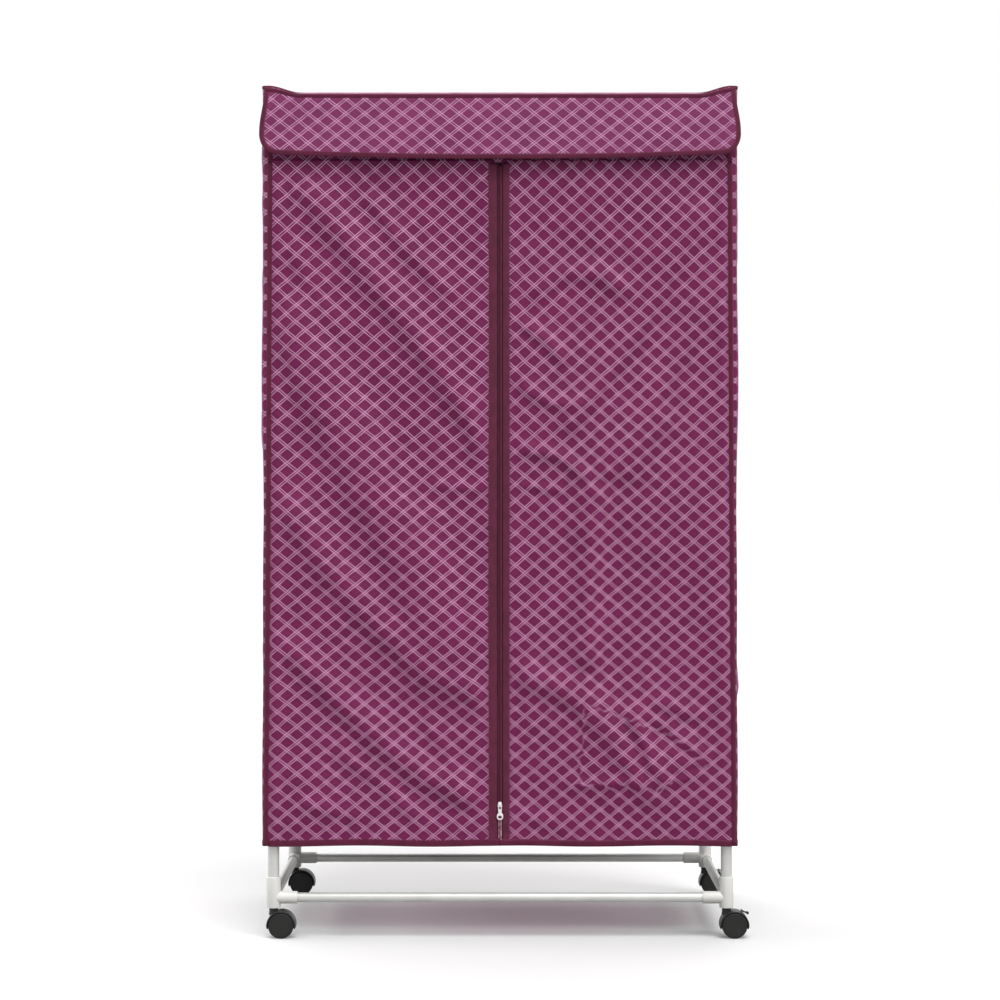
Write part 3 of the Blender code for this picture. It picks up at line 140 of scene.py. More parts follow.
RIGHT_FOLDS = (
    (5.2, 18, 67, 1085, 100, 1109, 134, 1115, 171, 1109, 192, 1092),
    (5, 12, 45, 1022, 75, 1002, 100, 972),
    (4.8, 12, 33, 923, 84, 896, 125, 893),
    (6, 13, 25, 821, 94, 808, 142, 776),
    (2.6, 8, 12, 759, 50, 756, 100, 750),
    (10.5, 20, 146, 475, 150, 617, 156, 743),
    (4.5, 26, 374, 360, 372, 520, 372, 700, 370, 860),
    (7.5, 20, 125, 868, 234, 1018, 334, 1211),
    (7.5, 18, 184, 784, 276, 926, 359, 1085),
    (4.4, 18, 234, 701, 318, 834, 371, 918),
    (7, 20, 276, 867, 238, 820, 218, 780),
    (1.4, 14, 167, 734, 259, 651),
    (2.6, 14, 259, 634, 343, 734),
    (8.5, 22, 12, 437, 55, 433, 116, 411, 186, 341, 245, 244),
    (4.5, 14, 262, 395, 329, 374),
    (3, 12, 20, 215, 105, 180),
    (5.5, 12, 221, 384, 242, 325, 268, 266),
    (3.6, 12, 234, 380, 288, 346, 343, 296),
    (2.8, 9, 125, 257, 200, 260, 270, 257, 334, 277),
    (1.6, 7, 105, 450, 150, 425),
    (1.8, 6, 176, 395, 204, 375, 226, 345),
    (1.6, 7, 300, 330, 345, 312),
)
# Folds of a side (y, z) and of the back (x, z), in the same way
SIDE_FOLDS = (
    (8.5, 30, -180, 1300, -100, 1100, 20, 900, 100, 700),
    (6, 24, 200, 1250, 120, 1050, 50, 850),
    (8.5, 28, -200, 840, -80, 640, 60, 500, 180, 450),
    (6.5, 22, -190, 470, -50, 340, 100, 260),
    (5, 22, 190, 980, 120, 840, 80, 660),
    (4.5, 20, -200, 1080, -140, 980, -100, 860),
)
BACK_FOLDS = (
    (8.5, 28, -330, 1280, -200, 1100, -80, 900),
    (9, 30, 330, 1280, 220, 1080, 140, 860, 100, 700),
    (9.5, 30, -340, 950, -200, 750, -50, 600, 80, 520),
    (8, 28, 340, 800, 200, 640, 60, 460),
    (8.5, 28, -330, 550, -180, 400, 0, 300, 160, 260),
    (6, 24, 330, 480, 220, 360, 120, 300),
    (5, 22, -120, 1300, -60, 1150, -20, 1000),
)
# Cloth over the heater, in metres: corners (x, z), anticlockwise, of the part that
# stands out and of the wider part where the print breaks and shows larger
BULGE = ((0.196, 0.398), (0.246, 0.252), (0.350, 0.290))
CREASED = ((0.140, 0.395), (0.128, 0.258), (0.270, 0.250), (0.345, 0.290), (0.286, 0.346))


def smooth(value):
    """Ease from 0 to 1 as the value goes from 0 to 1, level beyond: 3t^2 - 2t^3."""
    t = np.clip(value, 0.0, 1.0)
    return t * t * (3 - 2 * t)


def seam_x(z):
    """Distance of the front seams from the middle, on the doors' tilted hinge lines."""
    return SEAM_FOOT_X + (z - HEM) * SEAM_LEAN


# Distances from the middle of a side's front lip, the rear seams and the header's edge
LIP_X, REAR_SEAM_X, HEADER_X = (seam_x(level) for level in (1.0, 1.3, 1.36))


def ridge(x, z, crest, rise, spread, skew=0.12):
    """A soft fold along a line of points: rise * exp(-(d / w)^2).

    d is the distance to the nearest stretch of the line. The width w is the spread,
    wider by the skew on the upper side of the line and narrower on its lower side.
    """
    nearest = np.full(x.shape, np.inf)
    side = np.zeros(x.shape)
    for (ax, az), (bx, bz) in zip(crest[:-1], crest[1:]):
        run = np.array((bx - ax, bz - az))
        length = np.hypot(*run)
        along = np.clip(((x - ax) * run[0] + (z - az) * run[1]) / length**2, 0, 1)
        off_x = x - ax - along * run[0]
        off_z = z - az - along * run[1]
        distance = np.hypot(off_x, off_z)
        across = off_z * run[0] - off_x * run[1]
        across = across * np.sign(run[0]) / np.maximum(distance * length, 1e-9)
        closer = distance < nearest
        nearest = np.where(closer, distance, nearest)
        side = np.where(closer, across, side)
    return rise * np.exp(-((nearest / (spread * (1 + skew * side))) ** 2))


def folded(x, z, folds):
    """Relief of a hung cloth: slow waves and its folds, kept under a smooth limit."""
    total = 0.0008 * np.sin(x * 38 + 1.1) * np.sin(z * 17 + x * 9)
    total = total + 0.0022 * np.sin(z * 13 + x * 9 + 2.0) + 0.0010 * np.sin(z * 24 - x * 31)
    total = total + 0.0005 * np.sin(x * 71 - z * 43) + 0.0004 * np.sin(x * 29 + z * 88)
    for rise, spread, *crest in folds:
        crest = np.reshape(crest, (-1, 2)) / 1000
        total = total + ridge(x, z, crest, rise / 1000, spread / 1000)
    limit = 0.0165
    return limit * np.tanh(1.15 * total / limit)


def door_relief(x, z):
    """How far the door cloth stands out from its flat plane, at places (x, z).

    The folds and the bulge over the heater, eased to nothing at the seam, the zip
    and the top edge, and partly at the hem, with a low ridge along the post.
    """
    total = folded(x, z, LEFT_FOLDS if x.mean() < 0 else RIGHT_FOLDS)
    if x.mean() > 0:
        total = total + 0.0050 * smooth((inside_of(BULGE, x, z) + 0.004) / 0.026)
    inset = smooth((seam_x(z) - 0.006 - np.abs(x)) / 0.035)
    from_zip = smooth((np.abs(x) - 0.019) / 0.030)
    from_head = smooth((DOOR_HEAD - 0.006 - z) / 0.050)
    from_hem = 0.25 + 0.75 * smooth((z - HEM) / 0.070)
    by_post = 0.0036 * np.exp(-(((seam_x(z) - 0.015 - np.abs(x)) / 0.009) ** 2))
    return (total * inset * from_zip + by_post) * from_head * from_hem


def inside_of(corners, x, z):
    """Distance inside a convex outline: the least distance to its sides, from within."""
    depth = np.full(np.shape(x + z), np.inf)
    for (ax, az), (bx, bz) in zip(corners, (*corners[1:], corners[0])):
        length = math.hypot(bx - ax, bz - az)
        depth = np.minimum(depth, ((bx - ax) * (z - az) - (bz - az) * (x - ax)) / length)
    return depth


def door_y(x, z):
    """Middle of the door cloth's thickness."""
    return FRONT_FACE + CLOTH_WALL / 2 - door_relief(x, z)


def ear(distance, outer):
    """Rise of the roof's corners along one direction: an eased step near the edge."""
    return smooth((distance - outer + 0.062) / 0.052)


def roof_z(x, y, rise):
    """Middle of the roof cloth: nearly flat, a little slack, pulled up at the corners."""
    slack = 0.0012 * np.cos(x / COVER_X * 1.5) * np.cos(y / COVER_Y * 1.5)
    return ROOF_LEVEL - slack + rise * ear(np.abs(x), COVER_X) * ear(np.abs(y), COVER_Y)


def side_sway(z):
    """Slight wander of the cover's upright edges: two sine waves up the height."""
    share = (z - HEM) / (ROOF_LEVEL - HEM)
    sway = 0.0011 * np.sin(share * 11.0 + 0.6) + 0.0009 * np.sin(share * 23.0)
    return sway * np.sin(np.pi * np.clip(share, 0, 1)) ** 0.5


# Surfaces
def points(*parts):
    """Arrays for x, y and z, or for two coordinates, spread to one shape and joined."""
    return np.stack(np.broadcast_arrays(*parts), axis=-1)


def cells(grid):
    """The four corners of each cell between the rows and columns of a grid."""
    corners = [grid[:-1, :-1], grid[:-1, 1:], grid[1:, 1:], grid[1:, :-1]]
    return np.stack(corners, axis=2)


class Shape:
    """Surfaces joined into one mesh. Each is a grid of points, rows by columns.

    A face looks the way that columns cross rows by the right-hand rule.
    """

    def __init__(self):
        self.points = []
        self.quads = []
        self.ends = []
        self.coords = []
        self.count = 0

    def add(self, grid, around=False, along=False, caps=False, coords=None):
        """Add a grid, or a stack of like grids, closed round its columns or rows."""
        stack = grid if grid.ndim == 4 else grid[None]
        copies, rows, columns = stack.shape[:3]
        index = np.arange(rows * columns).reshape(rows, columns)
        if around:
            index = np.hstack([index, index[:, :1]])
        if along:
            index = np.vstack([index, index[:1]])
        starts = self.count + np.arange(copies) * rows * columns
        quads = cells(index).reshape(-1, 4) + starts[:, None, None]
        self.quads.append(quads.reshape(-1, 4))
        if caps:
            for start in starts:
                self.ends.append(index[0, :columns][::-1] + start)
                self.ends.append(index[-1, :columns] + start)
        if coords is None:
            coords = np.zeros((*index.shape, 2))
        self.coords.append(np.tile(cells(coords).reshape(-1, 2), (copies, 1)))
        self.points.append(stack.reshape(-1, 3))
        self.count += copies * rows * columns
        return self

    def solid(self, grid):
        """Add a grid that is closed round its columns and at both ends."""
        return self.add(grid, around=True, caps=True)

    def mesh(self, name, sharp_deg):
        """The Blender mesh, with the cloth coordinates as its UV map."""
        made = bpy.data.meshes.new(name)
        places = np.concatenate(self.points)
        quads = np.concatenate(self.quads)
        ends = [np.asarray(end) for end in self.ends]
        corners = np.concatenate([quads.ravel(), *ends]).astype(np.int32)
        sizes = np.array([4] * len(quads) + [len(end) for end in ends])
        made.vertices.add(len(places))
        made.vertices.foreach_set("co", places.astype(np.float32).ravel())
        made.loops.add(len(corners))
        made.loops.foreach_set("vertex_index", corners)
        made.polygons.add(len(sizes))
        starts = np.concatenate([[0], np.cumsum(sizes)[:-1]]).astype(np.int32)
        made.polygons.foreach_set("loop_start", starts)
        made.update(calc_edges=True)
        made.validate()
        layer = made.uv_layers.new(name="cloth")
        filled = np.zeros((len(corners), 2), np.float32)
        coords = np.concatenate(self.coords)
        filled[: len(coords)] = coords
        layer.data.foreach_set("uv", filled.ravel())
        made.shade_smooth()
        if sharp_deg:
            made.set_sharp_from_angle(angle=math.radians(sharp_deg))
        return made


def place(name, shape, material, body, replaces=(), slot=None, sharp_deg=40):
    """Put a finished shape into the scene, on its body."""
    obj = bpy.data.objects.new(name, shape.mesh(name, sharp_deg))
    bpy.context.scene.collection.objects.link(obj)
    obj.data.materials.append(material)
    if body:
        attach(obj, body)
    if replaces:
        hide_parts(*replaces)
    return obj


def thicken(obj, wall):
    """Give a cloth sheet its thickness, half on either side."""
    step = obj.modifiers.new("cloth", "SOLIDIFY")
    step.thickness = wall
    step.offset = 0.0


def place_cloth(name, grid, coords, material, body, node, wall):
    """Put a cloth panel into the scene in the place of a frame node."""
    panel = Shape().add(grid, coords=coords)
    panel = place(name, panel, material, body, (node,), "plum_check_cloth", 0)
    thicken(panel, wall)
    return panel


def unit(vectors):
    """Vectors of length one."""
    return vectors / np.maximum(np.linalg.norm(vectors, axis=-1, keepdims=True), 1e-12)


def lengths(path):
    """Distance along a path at each of its points."""
    steps = np.linalg.norm(np.diff(path, axis=0), axis=1)
    return np.concatenate([[0.0], np.cumsum(steps)])


def carried(path, up, profile, closed=False):
    """A profile (across, up) carried along a path: p + across * a + up * b.

    Across is up crossed with the path's direction, so the profile runs
    counter-clockwise when it is seen from ahead.
    """
    if closed:
        ahead = np.roll(path, -1, axis=0) - np.roll(path, 1, axis=0)
    else:
        ahead = np.gradient(path, axis=0)
    ahead = unit(ahead)
    across = unit(np.cross(up, ahead))
    lift = np.cross(ahead, across)
    a = profile[..., 0][..., None]
    b = profile[..., 1][..., None]
    return path[:, None, :] + across[:, None, :] * a + lift[:, None, :] * b


def tape_profile(width, thickness, sides=20, squareness=0.45):
    """Flattened rounded outline: (w/2 |cos|^p, t/2 |sin|^p) with the signs kept."""
    angle = np.linspace(0, np.pi * 2, sides, endpoint=False)
    c, s = np.cos(angle), np.sin(angle)
    a = width / 2 * np.sign(c) * np.abs(c) ** squareness
    b = thickness / 2 * np.sign(s) * np.abs(s) ** 0.8
    return points(a, b)


def add_tape(shape, path, up, width, thickness, closed=False, squareness=0.45):
    """A binding or tape along a path, with coordinates (distance along, share across)."""
    profile = tape_profile(width, thickness, squareness=squareness)
    grid = carried(path, up, profile, closed)
    run = lengths(np.vstack([path, path[:1]]) if closed else path)
    share = profile[:, 0] / width + 0.5
    share = np.concatenate([share, share[:1]])
    coords = points(run[:, None], share[None, :])
    return shape.add(grid, around=True, along=closed, caps=not closed, coords=coords)


def place_tape(name, material, body, path, up, width, thickness=BINDING_THICK, **form):
    """Put one binding or tape into the scene."""
    tape = add_tape(Shape(), path, up, width, thickness, **form)
    return place(name, tape, material, body, sharp_deg=0)


def turned_to(grid, axis):
    """Turn a shape made along Z so that it lies along X or Y."""
    return np.roll(grid, {"Z": 0, "X": 1, "Y": 2}[axis], axis=-1)


def turned(profile, sides):
    """A turned surface: (r cos a, r sin a, h) for each (radius, height) of a profile."""
    angle = np.linspace(0, np.pi * 2, sides, endpoint=False)
    radius, height = np.array(profile, float).T
    radius = radius[:, None]
    return points(radius * np.cos(angle), radius * np.sin(angle), height[:, None])


def rounded_ends(radius, low, high, edge, steps=4):
    """Profile of a solid bar whose two rims are rounded by quarter circles."""
    angle = np.linspace(0, np.pi / 2, steps + 1)
    first = [(radius - edge + edge * np.sin(t), low + edge - edge * np.cos(t)) for t in angle]
    last = [(radius - edge + edge * np.cos(t), high - edge + edge * np.sin(t)) for t in angle]
    return first + last


def add_bar(shape, centre, radius, length, axis, edge=0.0006, sides=36):
    """A round bar with softly rounded rims."""
    grid = turned(rounded_ends(radius, -length / 2, length / 2, edge), sides)
    return shape.solid(turned_to(grid, axis) + np.array(centre))


def rounded_outline(half_x, half_y, radius, steps=6):
    """Rectangle with corners of quarter circles, counter-clockwise, as (x, y) rows."""
    quarter = np.linspace(0, np.pi / 2, steps + 1)
    rows = []
    for turn, (sx, sy) in enumerate(((1, 1), (-1, 1), (-1, -1), (1, -1))):
        angle = quarter + turn * np.pi / 2
        middle = np.array((sx * (half_x - radius), sy * (half_y - radius)))
        rows.append(middle + radius * points(np.cos(angle), np.sin(angle)))
    return np.concatenate(rows)


def slab(half_x, half_y, low, high, radius, edge, steps=6, rim_steps=4):
    """A plate with round corners, its upper and lower rims rounded by quarter circles."""
    angle = np.linspace(0, np.pi / 2, rim_steps + 1)
    levels = [(edge * (1 - np.sin(t)), low + edge * (1 - np.cos(t))) for t in angle]
    levels += [(edge * (1 - np.cos(t)), high - edge * (1 - np.sin(t))) for t in angle]
    rows = []
    for inset, level in levels:
        corner = max(radius - inset, edge * 0.1)
        outline = rounded_outline(half_x - inset, half_y - inset, corner, steps)
        rows.append(points(*outline.T, level))
    return np.stack(rows)


# Materials
class Shader:
    """A node tree, of a new material or of the world, with short calls for its nodes."""

    def __init__(self, owner):
        if isinstance(owner, str):
            owner = bpy.data.materials.new(owner)
        owner.use_nodes = True
        self.material = owner
        self.tree = owner.node_tree
        self.surface = self.tree.nodes.get("Principled BSDF")

    def node(self, kind, inputs=(), **settings):
        made = self.tree.nodes.new(kind)
        for key, value in settings.items():
            setattr(made, key, value)
        for key, value in dict(inputs).items():
            self.put(made.inputs[key], value)
        return made

    def put(self, socket, value):
        if isinstance(value, bpy.types.NodeSocket):
            self.tree.links.new(value, socket)
        else:
            socket.default_value = value

    def math(self, operation, *values):
        made = self.node("ShaderNodeMath", operation=operation)
        for socket, value in zip(made.inputs, values):
            self.put(socket, value)
        return made.outputs[0]

    def times(self, first, second):
        return self.math("MULTIPLY", first, second)

    def step(self, value, start, end, low=0.0, high=1.0):
        """Smooth step from low to high as the value goes from start to end."""
        ends = {"From Min": start, "From Max": end, "To Min": low, "To Max": high}
        made = self.node("ShaderNodeMapRange", {"Value": value, **ends})
        made.interpolation_type = "SMOOTHSTEP"
        return made.outputs["Result"]

    def mix(self, share, first, second, blend="MIX"):
        made = self.node("ShaderNodeMix", data_type="RGBA", blend_type=blend)
        for socket, value in ((0, share), (6, first), (7, second)):
            self.put(made.inputs[socket], value)
        return made.outputs[2]

    def toned(self, base, tone):
        """A colour made lighter or darker by a tone."""
        shade = self.node("ShaderNodeCombineColor", {"Red": tone, "Green": tone, "Blue": tone})
        return self.mix(1.0, base, shade.outputs[0], "MULTIPLY")

    def place(self, stretch=None):
        """Object coordinates, stretched where a stretch is given."""
        source = self.node("ShaderNodeTexCoord").outputs["Object"]
        if not stretch:
            return source
        made = self.node("ShaderNodeMapping", {"Vector": source, "Scale": stretch})
        return made.outputs["Vector"]

    def parts(self, vector):
        """A vector's three numbers."""
        return self.node("ShaderNodeSeparateXYZ", {"Vector": vector}).outputs

    def across(self):
        """The piece's own cloth coordinates, as two numbers."""
        return self.parts(self.node("ShaderNodeUVMap", uv_map="cloth").outputs["UV"])[:2]

    def noise(self, scale, detail=3.0, vector=None, roughness=0.5):
        inputs = {"Scale": scale, "Detail": detail, "Roughness": roughness}
        made = self.node("ShaderNodeTexNoise", inputs)
        self.put(made.inputs["Vector"], vector or self.place())
        return made.outputs["Fac"]

    def bump(self, height, distance, strength=1.0, onto=None):
        inputs = {"Height": height, "Distance": distance, "Strength": strength}
        made = self.node("ShaderNodeBump", inputs)
        if onto is not None:
            self.put(made.inputs["Normal"], onto)
        return made.outputs["Normal"]

    def seen(self):
        """1 for rays from the camera, mirrors and glass, and 0 for all others."""
        rays = self.node("ShaderNodeLightPath").outputs
        seen = self.math("MAXIMUM", rays["Is Camera Ray"], rays["Is Glossy Ray"])
        return self.math("MAXIMUM", seen, rays["Is Transmission Ray"])

    def finish(self, **inputs):
        """Set the surface's sockets; underscores in the names stand for spaces."""
        for key, value in inputs.items():
            title = key.replace("_", " ").title().replace("Ior", "IOR")
            self.put(self.surface.inputs[title], value)
        return self.material


def linear(colour):
    """A colour picked on screen, 0 to 255, as the linear values that shaders use."""
    share = np.array(colour[:3], float) / 255
    value = np.where(share <= 0.04045, share / 12.92, ((share + 0.055) / 1.055) ** 2.4)
    return (*value.tolist(), 1.0)


def shared(name, make, *values, **more):
    """A material that is made once and then found by its name."""
    return bpy.data.materials.get(name) or make(name, *values, **more)


def check_cloth(name, base, band, thread, apart=0.080):
    """Printed lattice cloth: two crossing sets of double lines on a woven ground.

    With cloth coordinates (u, v) in lattice steps, the sets are u + v and u - v.
    A set's distance to its nearest whole number gives its band and its two lines,
    whose strength and place waver a little along the cloth. A line lies apart, or a
    little more, from the middle of its band.
    """
    s = Shader(name)
    u, v = s.across()
    wobble = s.times(s.math("SUBTRACT", s.noise(30.0, 3.0), 0.5), 0.10)
    u_wave = s.math("ADD", u, wobble)
    bands, lines = [], []
    for number, crossing in ((1, "ADD"), (2, "SUBTRACT")):
        off = s.math("PINGPONG", s.math(crossing, u_wave, v), 0.5)
        bands.append(s.step(off, 0.065, 0.105, 1.0, 0.0))
        uneven = s.math("MULTIPLY_ADD", s.noise(150.0 + 40 * number, 2.0), 0.018, apart)
        edge = s.math("ABSOLUTE", s.math("SUBTRACT", off, uneven))
        line = s.step(edge, 0.010, 0.030, 1.0, 0.0)
        worn = s.step(s.noise(52.0 + 17 * number, 4.0), 0.36, 0.62, 0.64, 1.0)
        lines.append(s.times(line, worn))
    mottle = s.step(s.noise(16.0, 5.0, roughness=0.6), 0.25, 0.75, 0.86, 1.10)
    ground = s.toned(base, mottle)
    colour = s.mix(s.times(s.math("MAXIMUM", *bands), 0.80), ground, band)
    colour = s.mix(s.math("MAXIMUM", *lines), colour, thread)
    warp = s.math("SINE", s.times(u, math.tau * 42))
    weft = s.math("SINE", s.times(v, math.tau * 36))
    normal = s.bump(s.times(warp, weft), 0.00012, 0.5)
    normal = s.bump(s.noise(48.0, 6.0, roughness=0.62), 0.0016, 0.5, normal)
    return s.finish(
        base_color=colour, roughness=0.55, sheen_weight=0.05, sheen_roughness=0.45,
        specular_ior_level=0.22, normal=normal,
    )


def woven_tape(name, base, stitch=None, ribs=0.0011, stitch_at=0.86):
    """Binding tape: fine ribs across it, and a row of stitches along one edge."""
    s = Shader(name)
    run, share = s.across()
    rib = s.math("SINE", s.times(run, math.tau / ribs))
    colour = s.toned(base, s.step(s.noise(60.0, 4.0), 0.3, 0.7, 0.84, 1.12))
    height = s.times(rib, 0.35)
    if stitch:
        dash = s.math("PINGPONG", s.math("DIVIDE", run, 0.0042), 0.5)
        row = s.math("ABSOLUTE", s.math("SUBTRACT", share, stitch_at))
        row = s.step(row, 0.030, 0.055, 1.0, 0.0)
        thread = s.times(s.step(dash, 0.12, 0.20), row)
        # Darker along the stitch row: painted shade in the stitch groove
        colour = s.mix(s.times(row, 0.45), colour, (0.010, 0.002, 0.005, 1))
        colour = s.mix(s.times(thread, 0.8), colour, stitch)
        height = s.math("SUBTRACT", s.math("ADD", height, thread), s.times(row, 0.8))
    normal = s.bump(height, 0.00025, 0.7)
    normal = s.bump(s.noise(90.0, 3.0), 0.0006, 0.4, normal)
    return s.finish(
        base_color=colour, roughness=0.65, sheen_weight=0.04, sheen_roughness=0.5,
        specular_ior_level=0.20, normal=normal,
    )


def roof_cord(name, base, pale):
    """Piping round the roof: binding tape, with a patchy painted highlight along the front and the
    back.
    """
    s = Shader(name)
    x = s.math("ABSOLUTE", s.parts(s.place())["X"])
    patchy = s.step(s.noise(40.0, 4.0), 0.2, 0.6, 0.6)
    # Pale colour in the middle of the front and back runs: painted highlight
    colour = s.mix(s.times(s.step(x, 0.350, 0.325), patchy), base, pale)
    rib = s.math("SINE", s.times(s.across()[0], math.tau / 0.0011))
    normal = s.bump(rib, 0.00010, 0.6)
    return s.finish(base_color=colour, roughness=0.65, specular_ior_level=0.2, normal=normal)


def coil_nylon(name, base, pale):
    """Zip coil: satin nylon, paler below the slider where the two rows part."""
    s = Shader(name)
    height = s.parts(s.place())["Z"]
    parted = s.step(height, SLIDER_LEVEL - 0.012, SLIDER_LEVEL - 0.026)
    patchy = s.step(s.noise(330.0, 3.0), 0.40, 0.56, 0.25, 1.0)
    colour = s.mix(s.times(parted, patchy), base, pale)
    normal = s.bump(s.noise(1500.0, 2.0), 0.00003, 0.5)
    return s.finish(base_color=colour, roughness=0.38, normal=normal)


def painted_metal(name, base, roughness, metallic, streak=None, peel=0.00006):
    """Painted or plated metal: faint clouding, drawn streaks and a fine skin."""
    s = Shader(name)
    colour = s.toned(base, s.step(s.noise(22.0, 5.0), 0.3, 0.7, 0.94, 1.04))
    streaks = s.noise(160.0, 3.0, s.place(streak))
    rough = s.step(streaks, 0.2, 0.8, roughness * 0.93, roughness * 1.09)
    normal = s.bump(s.noise(900.0, 2.0), peel, 0.35)
    return s.finish(base_color=colour, roughness=rough, metallic=metallic, normal=normal)


def moulded_plastic(name, base, roughness, grain=0.00008, grain_scale=700.0, wear=0.10, gloss=0.5):
    """Moulded plastic: spark-eroded grain, slight tone drift and scuffs."""
    s = Shader(name)
    drift = s.step(s.noise(18.0, 4.0), 0.3, 0.7, 1.0 - wear * 0.5, 1.0 + wear * 0.5)
    scuff = s.step(s.noise(120.0, 6.0, roughness=0.7), 0.62, 0.72, 0.0, wear)
    colour = s.mix(scuff, s.toned(base, drift), (0.75, 0.75, 0.74, 1.0))
    rough = s.step(s.noise(45.0, 4.0), 0.3, 0.7, roughness * 0.88, min(roughness * 1.15, 1.0))
    normal = s.bump(s.noise(grain_scale, 2.0), grain, 0.6)
    return s.finish(base_color=colour, roughness=rough, specular_ior_level=gloss, normal=normal)


def stage_white(name, colour, lift, bounce):
    """Floor paint: its own colour, and to the camera, mirrors and glass more light.

    The lift is that added light, with a painted plum reflection of the cloth in an ellipse
    below it. The bounce is how pale the floor is to the light that it sends back up.
    """
    s = Shader(name)
    tint = s.toned(colour, s.step(s.noise(3.0, 2.0), 0.2, 0.8, 0.99, 1.0))
    seen = s.seen()
    tint = s.mix(seen, (bounce, bounce, bounce, 1.0), tint)
    place = s.parts(s.place())
    squares = []
    for axis, half in (("X", 0.44), ("Y", 0.27)):
        share = s.math("DIVIDE", place[axis], half)
        squares.append(s.times(share, share))
    # Share of the painted plum reflection of the cloth: full below the cover, none beyond the
    # ellipse
    under = s.step(s.math("ADD", *squares), 0.1, 1.0, 1.0, 0.0)
    return s.finish(
        base_color=tint, roughness=0.9, specular_ior_level=0.1,
        emission_color=s.mix(under, (1, 1, 1, 1), (1, 0.64, 0.82, 1)),
        emission_strength=s.times(seen, lift),
    )


# Settings
def colour_setting(name, description, value):
    """A colour property, kept as screen values divided by 255."""
    default = tuple(part / 255 for part in value)
    return FloatVectorProperty(
        name=name, description=description, default=default, min=0, max=1, size=3,
        subtype="COLOR_GAMMA",
    )


def length_setting(name, description, value):
    """A length property in metres."""
    return FloatProperty(name=name, description=description, default=value, min=0, unit="LENGTH")


def light_setting(name, description, value):
    """A property for the strength of a light."""
    return FloatProperty(name=name, description=description, default=value, min=0)


def picked(setting):
    """A colour property as linear shader values."""
    return linear([part * 255 for part in setting])


class CoverSettings(PropertyGroup):
    """Sizes and colours of the cloth cover."""

    cloth: colour_setting("Cloth", "Ground colour of the check cloth", (117, 29, 81))
    # The flap's ground and band are a lighter copy of the doors' cloth: painted light for the extra
    # light that the flap's face catches
    flap_cloth: colour_setting("Flap cloth", "Ground colour of the flap's cloth", (127, 45, 94))
    flap_band_lit: colour_setting("Flap band", "Colour between the flap's double lines", (119, 48, 92))
    band: colour_setting("Band", "Colour between the lattice's double lines", (106, 30, 74))
    line: colour_setting("Line", "Colour of the lattice's lines", (255, 193, 238))
    binding: colour_setting("Binding", "Colour of the bindings and tapes", (94, 28, 56))
    wall: length_setting("Cloth wall", "Thickness of the cloth as it is shown", 0.0012)
    step_wide: length_setting("Lattice width", "Left to right step of the lattice", 0.0320)
    step_high: length_setting("Lattice height", "Up and down step of the lattice", 0.0274)
    ear_rise: length_setting("Ear rise", "How far the roof's corners stand up", 0.0112)
    binding_width: length_setting("Binding width", "Width of the bindings", 0.0084)
    hem_width: length_setting("Hem width", "Width of the hems' bindings", 0.0112)


class FrameSettings(PropertyGroup):
    """Finish of the tube frame."""

    tube: colour_setting("Tube", "Silver paint of the tubes", (211, 211, 208))
    connector: colour_setting("Connector", "Plastic of the corner connectors", (232, 231, 227))
    wire: colour_setting("Wire", "Plated wire of the tray", (190, 190, 190))


class CasterSettings(PropertyGroup):
    """Finish of the casters."""

    hood: colour_setting("Hood", "Plastic of the hoods", (44, 44, 44))
    # Darker than the hood's plastic: painted shade that offsets the key light on the lever's
    # sloping top
    lever: colour_setting("Lever", "Plastic of the brake levers", (27, 27, 27))
    wheel: colour_setting("Wheel", "Plastic of the wheels", (40, 40, 39))
    hood_wall: length_setting("Hood wall", "Thickness of the hood's shell", 0.0021)


class HeaterSettings(PropertyGroup):
    """Finish of the heater."""

    casing: colour_setting("Casing", "Plastic of the heater's casing", (226, 226, 222))
    grille: colour_setting("Grille", "Plastic of the outlet grille and the fan", (120, 121, 124))
    steel: colour_setting("Steel", "Motor can", (176, 176, 178))
    alloy: colour_setting("Alloy", "Element's fins", (192, 190, 186))


class StageSettings(PropertyGroup):
    """Camera, floor and light."""

    lens: FloatProperty(name="Lens", description="Focal length", default=0.0907, unit="CAMERA")
    distance: length_setting("Distance", "Camera to the front of the posts", 4.23)
    height: length_setting("Height", "Camera above the floor", 0.776)
    floor: colour_setting("Floor", "Floor and backdrop", (211, 211, 211))
    key: light_setting("Key", "Light from the front above", 2.10)
    side: light_setting("Side", "Low light from the right", 0.70)
    left: light_setting("Left", "Low light from the left", 1.1)
    rear: light_setting("Rear", "Light from behind above", 1.6)
    ambient: light_setting("Ambient", "Light from all round", 0.42)


# Operators
class Making:
    """What every operator here does: make its pieces with one group of settings."""

    group = "dryer_cover"

    def execute(self, context):
        self.make(getattr(context.scene, self.group))
        return {"FINISHED"}


# Cover
def lattice_coords(across_m, z, settings, start=(0.0, 0.0), wide=1.0, tighten=0.10):
    """Cloth coordinates in lattice steps, from metres across and up.

    u = across / step. The rows lie a little closer near the hem: the step is
    h (1 + k (z - 0.8)), so v is the logarithm of that bracket over h k.
    """
    u = (across_m - start[0]) / (settings.step_wide * wide)
    low = 1 + tighten * (z - 0.8)
    low_start = 1 + tighten * (start[1] - 0.8)
    return points(u, np.log(low / low_start) / (settings.step_high * tighten))


def taken_up(grid):
    """Metres across and up along the cloth, so that a fold takes up its own length.

    The running length of each row and each column, shrunk to the flat size.
    """
    measured = []
    for axis, flat in ((1, grid[..., 0]), (0, grid[..., 2])):
        run = np.cumsum(np.linalg.norm(np.diff(grid, axis=axis), axis=2), axis=axis)
        run = np.insert(run, 0, 0.0, axis=axis)
        first, last, whole = flat.take([0], axis), flat.take([-1], axis), run.take([-1], axis)
        measured.append(first + run * (last - first) / whole)
    return measured


